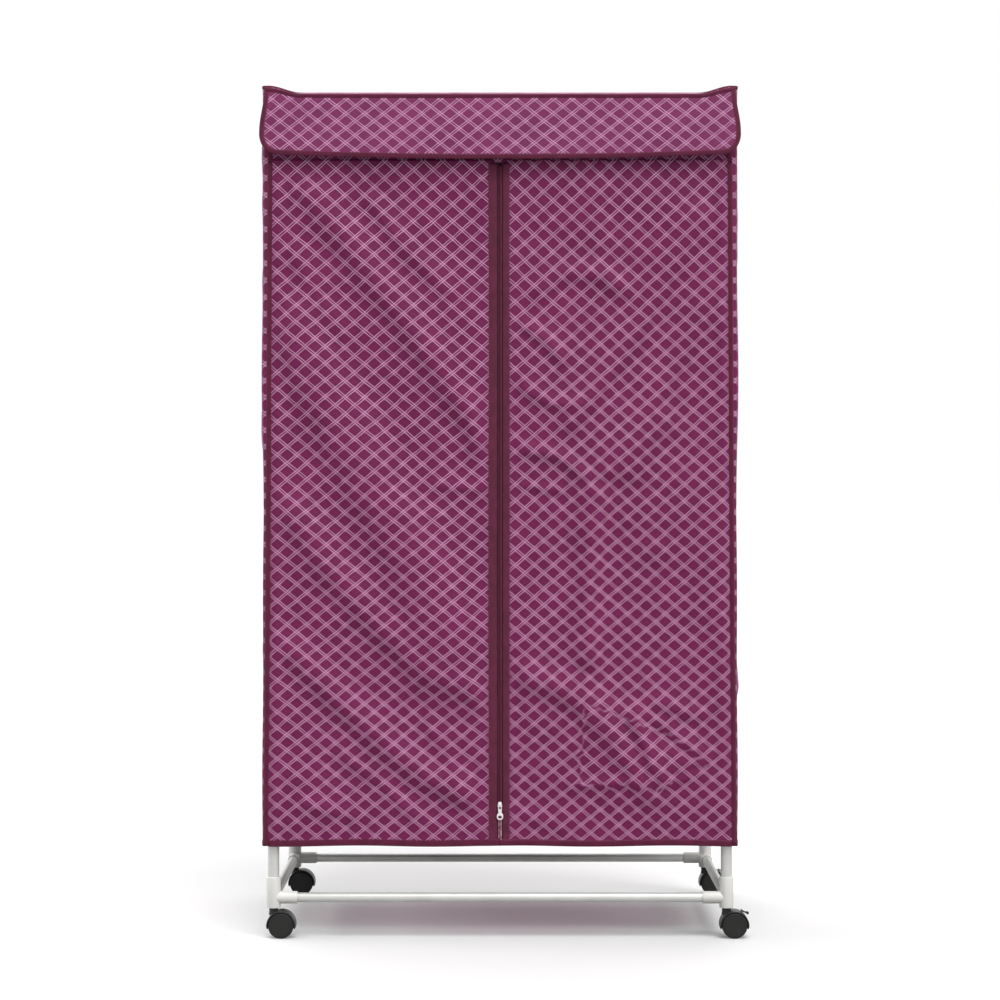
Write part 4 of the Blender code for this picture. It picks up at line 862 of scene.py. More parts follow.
def cover_materials(settings):
    """The cover's cloth and tape, made once and shared."""
    colours = picked(settings.cloth), picked(settings.band), picked(settings.line)
    cloth = shared("plum_check_cloth_print", check_cloth, *colours)
    stitch = linear((140, 70, 100))
    return cloth, shared("plum_binding_tape", woven_tape, picked(settings.binding), stitch)


def broken_print(across, height):
    """Cloth coordinates over the heater: shifted and 5 % larger, with a jagged border."""
    jag = np.sin(across * 330 + height * 90) + np.sin(height * 410 - across * 120)
    jag = jag + 0.6 * np.sin((across + height) * 640)
    inside = smooth((inside_of(CREASED, across, height) + 0.0022 * jag) / 0.003)
    middle = np.mean(BULGE, axis=0)
    shift_across = 0.006 - (across - middle[0]) * 0.05
    shift_up = 0.005 + (height - middle[1]) * 0.05
    return across + inside * shift_across, height - inside * shift_up


def hem_wave(x):
    """Slight wave of the doors' lower edge."""
    return 0.0010 * np.sin(x * 24 + 1.0)


class DRYER_OT_doors(Making, Operator):
    """Two door panels of folded check cloth, bound at the hem"""

    bl_idname = "dryer.doors"
    bl_label = "Doors"

    def make(self, settings):
        cloth, tape = cover_materials(settings)
        # Side, zip edge, start of the hem's tape, then the lattice's start and width
        doors = (
            (-1, "left", 0.0125, 0.0027, (-0.3555, LATTICE_LEVEL), 1.016),
            (1, "right", 0.0095, -0.0026, (0.1197, 1.0093), 0.981),
        )
        for side, word, zip_edge, start, lattice, wide in doors:
            body = "door_" + word
            z = np.linspace(HEM, DOOR_HEAD + 0.0050, 440)[:, None]
            share = np.linspace(0, 1, 170)[None, :]
            outer = seam_x(z) - SEAM_GAP
            x = side * (zip_edge + (outer - zip_edge) * (share if side > 0 else 1 - share))
            z = z + hem_wave(x) * smooth((HEM + 0.03 - z) / 0.03)
            grid = points(x, door_y(x, z), z)
            across, height = taken_up(grid)
            if side > 0:
                across, height = broken_print(across, height)
            coords = lattice_coords(across, height, settings, lattice, wide)
            name = "door_cloth_" + word
            panel = place_cloth(name, grid, coords, cloth, body, body, settings.wall)

            row = np.linspace(0, 1, 90)
            edge_x = side * (start + (seam_x(HEM) - 0.0024 - start) * row)
            edge_z = HEM + HEM_RAISE + hem_wave(edge_x)
            by_zip = 1 - smooth((np.abs(edge_x) - 0.018) / 0.012)
            edge = points(edge_x, door_y(edge_x, edge_z) - 0.0012 * by_zip, edge_z)
            place_tape("door_binding_" + word, tape, body, edge, FORWARD, settings.hem_width)


class DRYER_OT_zip(Making, Operator):
    """The zip's two tapes, and its nylon coil in two rows on a near-black strip of painted shade"""

    bl_idname = "dryer.zip"
    bl_label = "Zip"

    def make(self, settings):
        zip_tape = woven_tape("zip_tape", linear((98, 36, 62)), linear((126, 58, 88)), 0.0016, 0.90)
        coil = coil_nylon("zip_coil_nylon", linear((116, 28, 64)), linear((250, 196, 214)))
        # Near-black backing: painted shade behind the coil
        dark = woven_tape("zip_base_tape", linear((54, 4, 26)))
        z = np.linspace(HEM + 0.0010, DOOR_HEAD - 0.0006, 240)
        for side, word, low, high in ((-1, "left", 0.0053, 0.0192), (1, "right", 0.0045, 0.0162)):
            bow = 0.0004 * np.sin(z * 9 + side)
            path = points(side * (low + high) / 2 + bow * 0.5, FRONT_FACE + 0.0004 + bow, z)
            path = path if side < 0 else path[::-1]
            strip = add_tape(Shape(), path, FORWARD, high - low, 0.0026, squareness=0.25)
            if side < 0:
                inner = points(-0.0057, FRONT_FACE + 0.0026, z)
                add_tape(strip, inner, FORWARD, 0.0064, 0.0008, squareness=0.2)
            place("zip_tape_" + word, strip, zip_tape, "door_" + word, sharp_deg=0)

        # Two rows of coil teeth, short rounded bars, on a near-black woven strip that is painted
        # shade between and behind the teeth
        pitch = 0.0018
        teeth = int((DOOR_HEAD - HEM - 0.012) / pitch)
        level = HEM + 0.0066 + np.arange(teeth) * pitch
        across = np.linspace(-1, 1, 7)[:, None]
        angle = np.linspace(0, np.pi * 2, 8, endpoint=False)
        taper = np.sqrt(np.clip(1 - across**2, 0.06, 1))
        row = Shape()
        for middle, half, rise in ((-0.00176, 0.00086, 0.0), (0.00170, 0.00125, pitch / 2)):
            one = points(
                across * half, taper * np.cos(angle) * 0.00085, taper * np.sin(angle) * 0.00074
            )
            centre = points(middle, FRONT_FACE - 0.0002, level + rise)
            row.solid(one[None] + centre[:, None, None, :])
        place("zip_coil_rows", row, coil, "door_right", slot="zip_metal")
        base = points(0.00112, FRONT_FACE + 0.0012, z)[::-1]
        size = 0.0076, 0.0012
        place_tape("zip_coil_base", dark, "door_right", base, FORWARD, *size, squareness=0.3)


class DRYER_OT_zip_slider(Making, Operator):
    """The zip's slider, a tapered body with a bridge, and the pull that hangs from it"""

    bl_idname = "dryer.zip_slider"
    bl_label = "Zip Slider"

    def make(self, settings):
        metal = painted_metal("zip_slider_metal", linear((226, 220, 222)), 0.28, 0.85, (1, 1, 0.2))
        centre = np.array((-0.0002, FRONT_FACE, SLIDER_LEVEL + 0.0008))
        upright = np.array(((1, 0, 0), (0, 0, 1), (0, -1, 0)))
        body = Shape()
        heights, widths = (-0.0043, -0.0030, -0.0010, 0.0016, 0.0043), (0.80, 1, 0.95, 0.72, 0.66)
        for depth_low, depth_high, share in ((0.0006, 0.0022, 1.0), (-0.0030, -0.0016, 0.96)):
            plate = slab(0.0041 * share, 0.0043, depth_low, depth_high, 0.0012, 0.0005)
            plate[..., 0] *= np.interp(plate[..., 1], heights, widths)
            body.solid(plate @ upright + centre)
        web = slab(0.0006, 0.0040, -0.0020, 0.0010, 0.0004, 0.0002, 3, 2)
        body.solid(web @ upright + centre)

        # Bridge that holds the pull: a bow standing on the front plate
        bend = np.linspace(0, np.pi, 21)
        bow = points(0.0, -0.0018 - 0.0026 * np.sin(bend), 0.0030 * np.cos(bend))
        up = np.cross(np.gradient(bow, axis=0), (1.0, 0, 0))
        body.solid(carried(bow + centre, up, tape_profile(0.0022, 0.0010, 14)))
        place("zip_slider_body", body, metal, "slider", ("zip_slider",), "zip_metal")

        # Pull: a plate in two lobes, a small hole for the bridge and an oval one below.
        # For each lobe: its middle and half size, those of its hole, wall and squareness
        pivot = joint_place("pull_lift")
        foot = extent("zip_pull")[0][2] - pivot[2]
        lower, lower_hole = (0.0, foot + 0.0062), (0.0, foot + 0.0052)
        lobes = (
            ((0.0, -0.0066), (0.0032, 0.0080), (0.0, -0.0041), (0.0017, 0.0030), 0.00062, 0.55),
            (lower, (0.0055, 0.0062), lower_hole, (0.0033, 0.0024), 0.00056, 0.80),
        )
        turn = np.linspace(0, np.pi * 2, 64, endpoint=False)
        pull = Shape()
        for middle, half, hole_middle, hole_half, wall, squared in lobes:
            shape_x = np.sign(np.sin(turn)) * np.abs(np.sin(turn)) ** squared
            outer = points(shape_x, np.cos(turn)) * half + middle
            hole = points(np.sin(turn), np.cos(turn)) * hole_half + hole_middle
            inner = hole + (outer - hole) * 0.88
            rows = [
                points(loop[:, 0], depth, loop[:, 1])
                for loop, depth in (
                    (hole, wall), (inner, wall), (outer, wall * 0.3),
                    (outer, -wall * 0.3), (inner, -wall), (hole, -wall),
                )
            ]
            pull.add(np.stack(rows)[:, ::-1] + pivot, around=True, along=True)
        place("zip_pull_tab", pull, metal, "pull", ("zip_pull",), "zip_metal", 50)


class DRYER_OT_seams(Making, Operator):
    """Bindings over the four upright seams; the front ones are split at the door head"""

    bl_idname = "dryer.seams"
    bl_label = "Seam Bindings"

    def make(self, settings):
        tape = cover_materials(settings)[1]
        wide = settings.binding_width
        for side, word in ((-1, "left"), (1, "right")):
            z = np.linspace(HEM - 0.0008, DOOR_HEAD, 160)
            shift = 0.0016 * smooth((0.7 - z) / 0.6)
            path = points(side * (seam_x(z) + shift), FRONT_FACE - 0.0003, z)[:: -side]
            name = "seam_binding_front_" + word
            strip = place_tape(name, tape, None, path, FORWARD, wide, 0.0026)
            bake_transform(strip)
            z = np.linspace(DOOR_HEAD, ROOF_LEVEL - 0.004, 16)
            path = points(side * seam_x(z), FRONT_FACE + 0.0004, z)[:: -side]
            fixed = add_tape(Shape(), path, FORWARD, 0.0074, 0.0020)
            z = np.linspace(HEM - 0.0006, ROOF_LEVEL - 0.003, 60)
            path = points(side * REAR_SEAM_X, COVER_Y + 0.0012, z)[::side]
            add_tape(fixed, path, -FORWARD, wide, 0.0024)
            place("seam_binding_fixed_" + word, fixed, tape, "frame", sharp_deg=0)


def side_outline(side, count=150):
    """Run of a side panel from the rear seam to the front seam, seen from above.

    Straight lips and sides joined by quarter circles of the corner's radius.
    Rows of (x, y), evenly spaced along the run.
    """
    arc = np.linspace(0, np.pi / 2, 9)
    middle = (COVER_X - COVER_CORNER, COVER_Y - COVER_CORNER)
    rear = middle + COVER_CORNER * points(np.sin(arc), np.cos(arc))
    front = rear[::-1] * (1, -1)
    line = np.array([(LIP_X, COVER_Y), *rear, *front, (LIP_X, -COVER_Y)])
    even = np.linspace(0, lengths(line)[-1], count)
    return respaced(line, even) * (side, 1), even


def respaced(line, even):
    """Points of a line at given distances along it."""
    run = lengths(line)
    return np.stack([np.interp(even, run, part) for part in line.T], axis=-1)


def wall_ease(z):
    """Share of the folds that a side or the back has: none at its hem and its top."""
    return smooth((z - HEM) / 0.06) * smooth((ROOF_LEVEL - 0.02 - z) / 0.06)


class DRYER_OT_sides(Making, Operator):
    """Side panels wrapped round the posts, and the back panel, with bound hems"""

    bl_idname = "dryer.sides"
    bl_label = "Sides And Back"

    def make(self, settings):
        cloth, tape = cover_materials(settings)
        share = np.linspace(0, 1, 150)[:, None]
        for side, word in ((-1, "left"), (1, "right")):
            outline, run = side_outline(side)
            x, y = outline.T
            top = roof_z(COVER_X, y, settings.ear_rise) - UNDER_ROOF
            z = HEM + (top - HEM) * share
            middle = np.clip(1 - np.abs(y) / (COVER_Y - 0.02), 0, 1)
            flat = np.clip((np.abs(x) - COVER_X + COVER_CORNER) / COVER_CORNER, 0, 1)
            swell = folded(-side * y + 0 * z, z + 0.03 * side, SIDE_FOLDS)
            out = swell * smooth(middle * 5) * wall_ease(z) + side_sway(z) * flat
            lip_shift = (seam_x(z) - LIP_X) * side * (1 - flat) * (y < 0)
            grid = points(x + side * out + lip_shift, y, z)
            coords = lattice_coords(run, z, settings, (0.004, LATTICE_LEVEL))
            if side > 0:
                grid, coords = grid[:, ::-1], coords[:, ::-1]
            name, node = "side_cloth_" + word, "side_panel_" + word
            panel = place_cloth(name, grid, coords, cloth, "frame", node, settings.wall)
            edge = grid[0] + np.array((0, 0, HEM_RAISE))
            clear = (edge[:, 1] > 0) | (np.abs(edge[:, 0]) > seam_x(HEM) + 0.0022)
            edge = edge[clear]
            normal = unit(np.cross(np.gradient(edge, axis=0), (0, 0, 1.0)))
            place_tape("side_hem_" + word, tape, "frame", edge, normal, settings.hem_width)

        half = REAR_SEAM_X - SEAM_GAP
        x = np.linspace(half, -half, 150)[None, :]
        top = roof_z(x, COVER_Y, settings.ear_rise) - UNDER_ROOF
        z = HEM + (top - HEM) * share
        swell = folded(x + 0 * z, z + 0 * x, BACK_FOLDS) * wall_ease(z)
        grid = points(x, COVER_Y + swell * smooth((half - np.abs(x)) / 0.05), z)
        coords = lattice_coords(x, z, settings, (0.0, LATTICE_LEVEL))
        wall = settings.wall
        panel = place_cloth("back_cloth", grid, coords, cloth, "frame", "back_panel", wall)
        edge = grid[0] + np.array((0, 0, HEM_RAISE))
        place_tape("back_hem", tape, "frame", edge, -FORWARD, settings.hem_width)


class DRYER_OT_roof(Making, Operator):
    """The roof panel with its raised corners, its edge binding, and the header panel"""

    bl_idname = "dryer.roof"
    bl_label = "Roof"

    def make(self, settings):
        cloth = cover_materials(settings)[0]
        rise = settings.ear_rise
        x = np.linspace(-COVER_X, COVER_X, 170)[None, :]
        y = np.linspace(-COVER_Y, COVER_Y, 110)[:, None]
        coords = points(x / settings.step_wide, y / settings.step_high)
        grid = points(x, y, roof_z(x, y, rise))
        wall = settings.wall
        panel = place_cloth("roof_cloth", grid, coords, cloth, "frame", "roof_panel", wall)

        # Edge binding: the roof's outline, rounded at the corners, following the ears
        outline = rounded_outline(COVER_X + 0.0002, COVER_Y + 0.0002, 0.006, 8)
        loop = np.vstack([outline, outline[:1]])
        edge = respaced(loop, np.linspace(0, lengths(loop)[-1], 700, endpoint=False))
        path = points(*edge.T, roof_z(*edge.T, rise) - UNDER_ROOF)
        ahead = np.gradient(edge, axis=0)
        outward = unit(points(ahead[:, 1], -ahead[:, 0], 0.0))
        # The pale colour is a painted highlight along the cord's front and back runs
        cord = roof_cord("roof_piping_cord", picked(settings.binding), linear((206, 160, 184)))
        form = {"closed": True, "squareness": 0.8}
        place_tape("roof_piping", cord, "frame", path, outward, 0.0052, **form)

        # Header panel behind the flap
        foot = extent("header_panel")[0][2]
        x = np.linspace(-1, 1, 120)[None, :]
        top = roof_z(x * HEADER_X, -COVER_Y, rise) - UNDER_ROOF
        z = foot + (top - foot) * np.linspace(0, 1, 20)[:, None]
        x = x * (seam_x(z) - SEAM_GAP)
        y = 0.0024 * (1 - smooth((z - DOOR_HEAD - 0.005) / 0.02)) - COVER_Y
        coords = lattice_coords(x, z, settings, (-0.3555, LATTICE_LEVEL))
        grid = points(x, y, z)
        panel = place_cloth("header_cloth", grid, coords, cloth, "frame", "header_panel", wall)


def flap_place(u, v, rise):
    """Middle surface of the flap, for u across (-1 to 1) and v down (0 to 1).

    The top edge follows the roof's front edge and its ears. The lower edge sags by a
    parabola. The half width is a bulging side less the rounded corner, and the cloth
    leans out towards its lower edge, with three shallow waves.
    """
    half = 0.4008
    radius = 0.036
    depth = 0.1104 - 0.0075 * np.abs(u) ** 2.2
    drop = v * depth
    past = np.clip(drop - (depth - radius), 0, radius)
    tuck = 0.80 * (radius - np.sqrt(np.maximum(radius**2 - past**2, 0)))
    bulge = 0.0072 * (1 - smooth(drop / 0.060)) + 0.0006 * np.sin(drop * 60)
    x = u * (half - bulge - tuck)
    top = roof_z(x, -COVER_Y, rise) - 0.0008
    lift = np.clip(1 - v * 1.6, 0, 1) ** 1.5
    z = FLAP_HINGE[2] + 0.0014 + (top - ROOF_LEVEL) * lift - drop
    lean = 0.0145 * np.clip(v, 0, 1) ** 0.85
    wave = 0.0014 * np.sin(u * 9.4 + 0.6) * v + 0.0008 * np.sin(u * 23 + 2.0) * v
    wave = wave + 0.0012 * np.sin(v * 5.5 + u * 6) * np.sin(np.pi * np.clip(v, 0, 1))
    curl = 0.0020 * smooth((np.abs(u) - 0.90) / 0.10) * (1 - v)
    y = FLAP_HINGE[1] - 0.0006 - lean - wave + curl
    return points(x, y, z)


class DRYER_OT_flap(Making, Operator):
    """The front flap with its bound edges; its upper edge stays on the roof"""

    bl_idname = "dryer.flap"
    bl_label = "Front Flap"

    def make(self, settings):
        tape = cover_materials(settings)[1]
        # A lighter copy of the doors' cloth: painted light on the flap
        colours = picked(settings.flap_cloth), picked(settings.flap_band_lit), picked(settings.line)
        cloth = check_cloth("flap_check_cloth_print", *colours, 0.0865)
        rise, wide = settings.ear_rise, settings.binding_width
        v = np.concatenate([np.linspace(1, 0.84, 22), np.linspace(0.83, 0, 40)])[:, None]
        grid = flap_place(np.linspace(-1, 1, 260)[None, :], v, rise)
        x, z = grid[..., 0], grid[..., 2] * 1.10  # the flap's rows lie closer together
        coords = lattice_coords(x, z, settings, (-0.3674, 1.476), 0.984, 0.0001)
        panel = Shape().add(grid, coords=coords)
        panel = place("flap_cloth", panel, cloth, None, ("front_flap",), "plum_check_cloth", 0)

        # Binding down one side, along the lower edge and up the other side
        down = np.linspace(0, 1, 70)
        left, right = (flap_place(np.full(70, u), down, rise) for u in (-1.0, 1.0))
        lower = flap_place(np.linspace(-1, 1, 240), np.ones(240), rise)
        path = np.vstack([left, lower[1:-1], right[::-1]])
        path = respaced(path, np.linspace(0, lengths(path)[-1], 420))
        outward = unit(np.cross(np.gradient(path, axis=0), FORWARD))
        path = path - outward * wide * 0.42
        binding = place_tape("flap_binding", tape, None, path, FORWARD, wide)

        # Binding where the flap is sewn to the roof's front edge
        top = flap_place(np.linspace(-0.995, 0.995, 240), np.full(240, 0.034), rise)
        top = top + FORWARD * 0.0006
        place_tape("flap_top_binding", tape, "frame", top, FORWARD, 0.0070, 0.0026)
        for piece in (panel, binding):
            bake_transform(piece)
        thicken(panel, settings.wall)


# Frame
def frame_materials(settings):
    """The frame's tube paint, connector plastic and tray wire, made once and shared."""
    tube, wire = picked(settings.tube), picked(settings.wire)
    streak = (1, 1, 0.05)
    return (
        shared("silver_tube_paint", painted_metal, tube, 0.48, 0.36, streak, 0.00002),
        shared("connector_plastic", moulded_plastic, picked(settings.connector), 0.46, wear=0.04),
        shared("plated_wire", painted_metal, wire, 0.20, 1.0),
    )


class DRYER_OT_tubes(Making, Operator):
    """Posts, rails and hanging bars as smooth round tubes"""

    bl_idname = "dryer.tubes"
    bl_label = "Tubes"
    group = "dryer_frame"

    def make(self, settings):
        paint, plastic = frame_materials(settings)[:2]
        nodes = [("post_" + label, "Z") for label, _, _ in CORNERS]
        for stage in ("base", "top"):
            nodes += [(f"{stage}_rail_{end}", "X") for end in ("front", "rear")]
        for stage in ("base", "mid", "top"):
            nodes += [(f"{stage}_rail_{end}", "Y") for end in ("left", "right")]
        for node, axis in nodes:
            low, high, middle = extent(node)
            size = high - low
            along = "XYZ".index(axis)
            shape = add_bar(Shape(), middle, size[(along + 1) % 3] / 2, size[along], axis)
            place("tube_" + node, shape, paint, "frame", (node,), "silver_tube")
        for node in ("mid_hanging_bar", "top_hanging_bar"):
            level = extent(node.split("_")[0] + "_rail_left")[2][2]
            bar = add_bar(Shape(), (0, 0, level), RAIL_RADIUS, POST_X * 2 - 0.014, "X")
            place("tube_" + node, bar, paint, "frame", (node,), "silver_tube")

            # Saddles: a round boss over each side rail, with a collar on the bar
            saddles = Shape()
            arc = np.linspace(-0.2, np.pi + 0.2, 28)[:, None]
            half_thick, half_wide = 0.0011, 0.0120
            profile = rounded_outline(half_thick, half_wide, 0.0009, 3)
            radius = RAIL_RADIUS + 0.0014 + profile[:, 0]
            for side in (-1, 1):
                across, up = side * POST_X + radius * np.cos(arc), level + radius * np.sin(arc)
                saddles.solid(points(across, profile[:, 1], up))
                collar = (side * (POST_X - 0.0155), 0, level)
                add_bar(saddles, collar, RAIL_RADIUS + 0.0020, 0.0120, "X", 0.0010)
            place("saddles_" + node, saddles, plastic, "frame")


def sleeve_profile(radius, bore, low, high, rim=0.0009):
    """Turned profile of an upright sleeve with rolled rims and a recess at the top."""
    rows = rounded_ends(radius, low, high, rim)
    rows += [(bore + 0.0003, high), (bore + 0.0001, high - 0.0030), (bore * 0.5, high - 0.0030)]
    return rows


def socket_arm(radius, reach, axis, ahead):
    """A socket arm along an axis: a plain barrel, its mouth rounded and recessed."""
    rows = [(radius, 0.0020), (radius, reach - 0.0008), (radius - 0.0003, reach - 0.0002)]
    rows += [(radius - 0.0008, reach), (RAIL_RADIUS + 0.0003, reach)]
    rows += [(RAIL_RADIUS + 0.0001, reach - 0.0020)]
    grid = turned_to(turned(rows, 36), axis)
    return grid if ahead else grid * np.array((-1, -1, 1))


class DRYER_OT_connectors(Making, Operator):
    """Moulded connectors: a sleeve on each post with sockets for the rails"""

    bl_idname = "dryer.connectors"
    bl_label = "Connectors"
    group = "dryer_frame"

    def make(self, settings):
        plastic = frame_materials(settings)[1]
        arm = RAIL_RADIUS + 0.0023
        for stage in ("base", "mid", "top"):
            for label, sx, sy in CORNERS:
                node = f"{stage}_connector_{label}"
                low, high = extent(node)[:2]
                centre = np.array((sx * POST_X, sy * POST_Y, 0.0))
                rail = extent(f"{stage}_rail_" + ("left" if sx < 0 else "right"))[2][2]
                # How far the connector reaches, outwards and inwards
                outer, inner = (high, low) if sx > 0 else (low, high)
                radius, reach_x = abs(outer[0] - centre[0]), abs(inner[0] - centre[0])
                reach_y = abs((high if sy < 0 else low)[1] - centre[1])
                if stage == "top":
                    rows = sleeve_profile(radius, POST_RADIUS, -high[2], -low[2])
                    grid = turned(rows, 40) * np.array((1, -1, -1))
                else:
                    grid = turned(sleeve_profile(radius, POST_RADIUS, low[2], high[2]), 40)
                shape = Shape().solid(grid + centre)
                at = centre + np.array((0, 0, rail))
                shape.solid(socket_arm(arm, reach_y, "Y", sy < 0) + at)
                if stage != "mid":
                    shape.solid(socket_arm(arm, reach_x, "X", sx < 0) + at)
                name, slot = "moulded_" + node, "pale_grey_plastic"
                place(name, shape, plastic, "frame", (node,), slot, 32)


class DRYER_OT_tray(Making, Operator):
    """The heater's wire tray: edge wires, cross wires and a collar on each post"""

    bl_idname = "dryer.tray"
    bl_label = "Wire Tray"
    group = "dryer_frame"

    def make(self, settings):
        wire = frame_materials(settings)[2]
        low, high, middle = extent("heater_tray")
        level = middle[2]
        shape = Shape()
        for side in (-1, 1):
            add_bar(shape, (0, side * POST_Y, level), 0.0030, POST_X * 2 - 0.020, "X", sides=20)
            add_bar(shape, (side * POST_X, 0, level), 0.0030, POST_Y * 2 - 0.020, "Y", sides=20)
        for number in range(1, 8):
            x = -POST_X + POST_X * 2 * number / 8
            add_bar(shape, (x, 0, level), 0.0025, POST_Y * 2, "Y", 0.0012, sides=18)
        profile = rounded_ends(POST_RADIUS + 0.0029, low[2], high[2], 0.0012)
        profile += [(POST_RADIUS + 0.0003, high[2]), (POST_RADIUS + 0.0002, high[2] - 0.002)]
        for _, sx, sy in CORNERS:
            shape.solid(turned(profile, 36) + np.array((sx * POST_X, sy * POST_Y, 0)))
        place("wire_tray", shape, wire, "frame", ("heater_tray",), "tray_wire")


# Casters
class DRYER_OT_casters(Making, Operator):
    """Twin-wheel casters: hood, web and kingpin, two wheels, and brake levers"""

    bl_idname = "dryer.casters"
    bl_label = "Casters"
    group = "dryer_caster"

    def make(self, settings):
        # For each plastic: its colour, roughness, grain's depth and scale, wear and gloss
        hood_plastic, wheel_plastic, lever_plastic = (
            moulded_plastic(name, picked(colour), *finish)
            for name, colour, *finish in (
                ("caster_hood_plastic", settings.hood, 0.42, 0.00010, 900.0, 0.05, 0.25),
                ("caster_wheel_plastic", settings.wheel, 0.50, 0.00008, 1100.0, 0.05, 0.22),
                # The lever's plastic is a darker copy of the hood's: painted shade
                ("lever_plastic", settings.lever, 0.50, 0.00008, 900.0, 0.05, 0.18),
            )
        )
        for label, _, _ in CORNERS:
            pivot = joint_place("caster_swivel_" + label)
            hub = joint_place("wheel_spin_near_" + label)
            hub[1] = pivot[1]
            node = "caster_housing_" + label
            low, high = extent(node)[:2]
            half = max(high[1] - hub[1], hub[1] - low[1])
            hood = self.hood(hub, pivot, hub[0] - low[0], half, settings.hood_wall)
            name, body = "caster_hood_" + label, "caster_" + label
            place(name, hood, hood_plastic, body, (node,), "dark_grey_plastic", 35)
            for word in ("near", "far"):
                node = f"caster_wheel_{word}_{label}"
                joint = joint_place(f"wheel_spin_{word}_{label}")
                low, high, middle = extent(node)
                grid = turned_to(turned(self.wheel_rows(joint[2], high[1] - low[1]), 72), "Y")
                inner = low[1]
                if middle[1] < hub[1]:
                    grid = grid * np.array((1, -1, -1))
                    inner = high[1]
                wheel = Shape().solid(grid + np.array((joint[0], inner, joint[2])))
                name = f"wheel_{word}_{label}"
                place(name, wheel, wheel_plastic, node, (node,), "wheel_plastic", 30)
        for label in ("front_right", "rear_right"):
            node = "brake_lever_" + label
            lever = self.lever(joint_place("brake_press_" + label))
            name = "lever_" + label
            place(name, lever, lever_plastic, node, (node,), "dark_grey_plastic", 35)

    @staticmethod
    def wheel_rows(radius, width):
        """Wheel profile (radius, depth): tread, rounded rim, groove and a shallow dish."""
        arc = np.linspace(0, np.pi / 2, 6)
        rim = 0.0022
        rows = [(0.0036, 0.0), (radius - 0.0012, 0.0), (radius, 0.0012)]
        rows += [(radius - rim + rim * np.cos(t), width - rim + rim * np.sin(t)) for t in arc]
        rows += [(radius - 0.0030, width - 0.00005), (radius - 0.0033, width - 0.0005)]
        rows += [(radius - 0.0040, width - 0.0005), (radius - 0.0043, width - 0.0001)]
        rows += [(radius * 0.60, width - 0.0003), (radius * 0.30, width - 0.0004)]
        rows += [(0.0040, width - 0.0004)]
        return rows

    @staticmethod
    def hood(hub, pivot, outer, half, wall):
        """Hood: a rounded strip carried round the wheels, a web, a kingpin and a stem."""
        dip = math.radians(14)
        arc = np.linspace(-dip, np.pi + dip, 44)
        profile = rounded_outline(wall / 2, half, wall * 0.45, 4)
        radius = outer - wall / 2 + profile[:, 0]
        taper = 1 - 0.35 * smooth((np.abs(arc - np.pi / 2) - np.pi / 2 - dip * 0.1) / dip)
        cosine, sine = np.cos(arc)[:, None], np.sin(arc)[:, None]
        strip = points(radius * cosine, profile[:, 1] * taper[:, None], radius * sine)
        shape = Shape().solid(strip + hub)

        # Web between the wheels: half discs from the hub's level up
        rows = []
        for level, inset in ((-0.0030, 0.0004), (-0.0026, 0.0), (0.0026, 0.0), (0.0030, 0.0004)):
            r = outer - wall * 0.5 - inset
            rows.append(points(r * np.cos(arc), level, r * np.sin(arc))[::-1])
        shape.solid(np.stack(rows) + hub)

        # Kingpin with a flared foot, and the stem that enters the post
        top = pivot[2]
        foot = hub[2] + outer * 0.70
        rows = [(0.0084, foot), (0.0077, foot + 0.0030), (0.0075, foot + 0.0050)]
        rows += [(0.0075, top - 0.0009), (0.0066, top), (0.0040, top)]
        rows += [(0.0040, top + 0.030), (0.0034, top + 0.034)]
        shape.solid(turned(rows, 32) + np.array((pivot[0], pivot[1], 0)))
        axle = turned(rounded_ends(0.0030, -half + 0.003, half - 0.003, 0.0004), 20)
        return shape.solid(turned_to(axle, "Y") + hub)

    @staticmethod
    def lever(pivot):
        """Brake lever: a thin neck that slopes down to a thicker tread."""
        run = np.linspace(-0.0010, 0.0122, 20)
        slope = math.radians(25.5)
        ahead = np.array((math.cos(slope), 0, -math.sin(slope)))
        up = np.array((math.sin(slope), 0, math.cos(slope)))
        bow = 0.0006 * smooth((run - 0.0066) / 0.0040)
        path = pivot + run[:, None] * ahead + bow[:, None] * up
        grid = carried(path, up, tape_profile(0.0116, 0.0018, 24, 0.25))
        thick = 1 + 1.1 * smooth((run - 0.0078) / 0.0012)
        grid = path[:, None] + (grid - path[:, None]) * points(thick, 1.0, thick)[:, None]
        pin = turned(rounded_ends(0.0011, -0.0082, 0.0082, 0.0002), 14)
        return Shape().solid(grid).solid(turned_to(pin, "Y") + pivot)


# Heater
class DRYER_OT_heater(Making, Operator):
    """The finishes of the heater's casing, grille, motor and element"""

    bl_idname = "dryer.heater"
    bl_label = "Heater"
    group = "dryer_heater"

    def make(self, settings):
        casing = moulded_plastic("heater_casing_plastic", picked(settings.casing), 0.36, wear=0.03)
        grille = moulded_plastic("heater_grille_plastic", picked(settings.grille), 0.50)
        steel = painted_metal("motor_can_steel", picked(settings.steel), 0.32, 0.95, (1, 1, 0.1))
        alloy = painted_metal("element_fin_alloy", picked(settings.alloy), 0.38, 0.95)
        finishes = {
            "heater_base": casing, "heater_shell": casing, "timer_knob": casing,
            "heater_grille": grille, "heater_impeller": grille,
            "heater_motor": steel, "heater_element": alloy,
        }
        for node, material in finishes.items():
            mesh = frame["nodes"][node].data
            mesh.materials.clear()
            mesh.materials.append(material)


# Stage
def add_to_scene(name, data, location, turn):
    """Put a camera or a lamp into the scene, turned by x, y and z angles."""
    made = bpy.data.objects.new(name, data)
    bpy.context.scene.collection.objects.link(made)
    made.location = location
    made.rotation_euler = turn
    return made


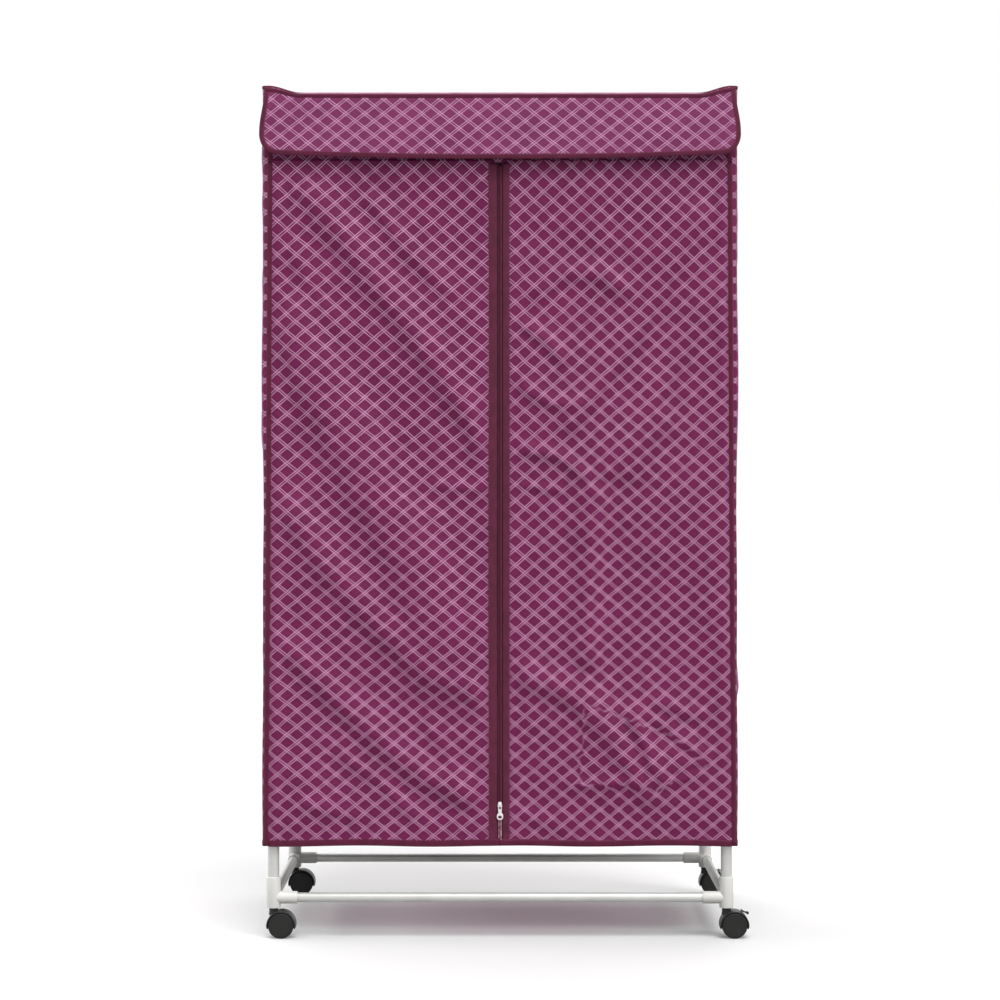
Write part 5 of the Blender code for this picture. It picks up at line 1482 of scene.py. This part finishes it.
class DRYER_OT_stage(Making, Operator):
    """Camera, floor, lamps and surroundings"""

    bl_idname = "dryer.stage"
    bl_label = "Stage"
    group = "dryer_stage"

    def make(self, settings):
        scene = bpy.context.scene
        x = np.linspace(-30, 30, 13)[None, :]
        y = np.linspace(-30, 60, 13)[:, None]
        paint = stage_white("studio_floor", picked(settings.floor), lift=0.137, bounce=0.25)
        ground = place("studio_floor", Shape().add(points(x, y, 0.0)), paint, None)

        data = bpy.data.cameras.new("camera")
        data.lens = settings.lens * 1000
        data.sensor_width = 36
        data.shift_y = -0.025
        data.clip_end = 200
        spot = (0.0, -POST_Y - settings.distance, settings.height)
        scene.camera = add_to_scene("camera", data, spot, (math.pi / 2, 0, 0))

        lamps = (
            ("key_sun", (0.30, -1.0, 2.0), settings.key, 38),
            ("side_sun", (1.0, -0.80, 0.55), settings.side, 24),
            ("left_sun", (-1.0, 0.15, 0.45), settings.left, 24),
            ("rear_sun", (-0.30, 1.0, 2.0), settings.rear, 60),
        )
        for name, way, strength, spread_deg in lamps:
            data = bpy.data.lights.new(name, "SUN")
            data.energy = strength
            data.angle = math.radians(spread_deg)
            tilt = math.atan2(math.hypot(way[0], way[1]), way[2])
            turn = (tilt, 0, math.atan2(way[0], -way[1]))
            add_to_scene(name, data, np.array(way) * 3, turn)

        # White to the camera, mirrors and glass, and dimmer as a light
        scene.world = scene.world or bpy.data.worlds.new("studio")
        s = Shader(scene.world)
        back = s.tree.nodes["Background"].inputs
        levels = {"Value": s.seen(), "To Min": settings.ambient, "To Max": 1.0}
        s.put(back["Color"], (1, 1, 1, 1))
        s.put(back["Strength"], s.node("ShaderNodeMapRange", levels).outputs["Result"])
        scene.view_settings.view_transform = "Standard"


OPERATORS = (
    DRYER_OT_stage,
    DRYER_OT_doors,
    DRYER_OT_zip,
    DRYER_OT_zip_slider,
    DRYER_OT_seams,
    DRYER_OT_sides,
    DRYER_OT_roof,
    DRYER_OT_flap,
    DRYER_OT_tubes,
    DRYER_OT_connectors,
    DRYER_OT_tray,
    DRYER_OT_casters,
    DRYER_OT_heater,
)
SETTINGS = {
    "dryer_cover": CoverSettings,
    "dryer_frame": FrameSettings,
    "dryer_caster": CasterSettings,
    "dryer_heater": HeaterSettings,
    "dryer_stage": StageSettings,
}


class DRYER_PT_panel(Panel):
    """Lists the dryer's settings and what can be made"""

    bl_idname = "DRYER_PT_panel"
    bl_label = "Clothes Dryer"
    bl_space_type = "VIEW_3D"
    bl_region_type = "UI"
    bl_category = "Dryer"

    def draw(self, context):
        for name, group in SETTINGS.items():
            box = self.layout.box()
            for key in group.__annotations__:
                box.prop(getattr(context.scene, name), key)
        for operator in OPERATORS:
            self.layout.operator(operator.bl_idname)


CLASSES = (*SETTINGS.values(), *OPERATORS, DRYER_PT_panel)


def register():
    for cls in CLASSES:
        bpy.utils.register_class(cls)
    for name, group in SETTINGS.items():
        setattr(bpy.types.Scene, name, PointerProperty(type=group))


def unregister():
    for name in SETTINGS:
        delattr(bpy.types.Scene, name)
    for cls in reversed(CLASSES):
        bpy.utils.unregister_class(cls)


def main():
    """Make every piece in turn."""
    register()
    for old in list(bpy.context.scene.objects):
        if old.type in ("CAMERA", "LIGHT"):
            bpy.data.objects.remove(old)
    for operator in OPERATORS:
        group, name = operator.bl_idname.split(".")
        getattr(getattr(bpy.ops, group), name)()


if __name__ == "__main__":
    main()
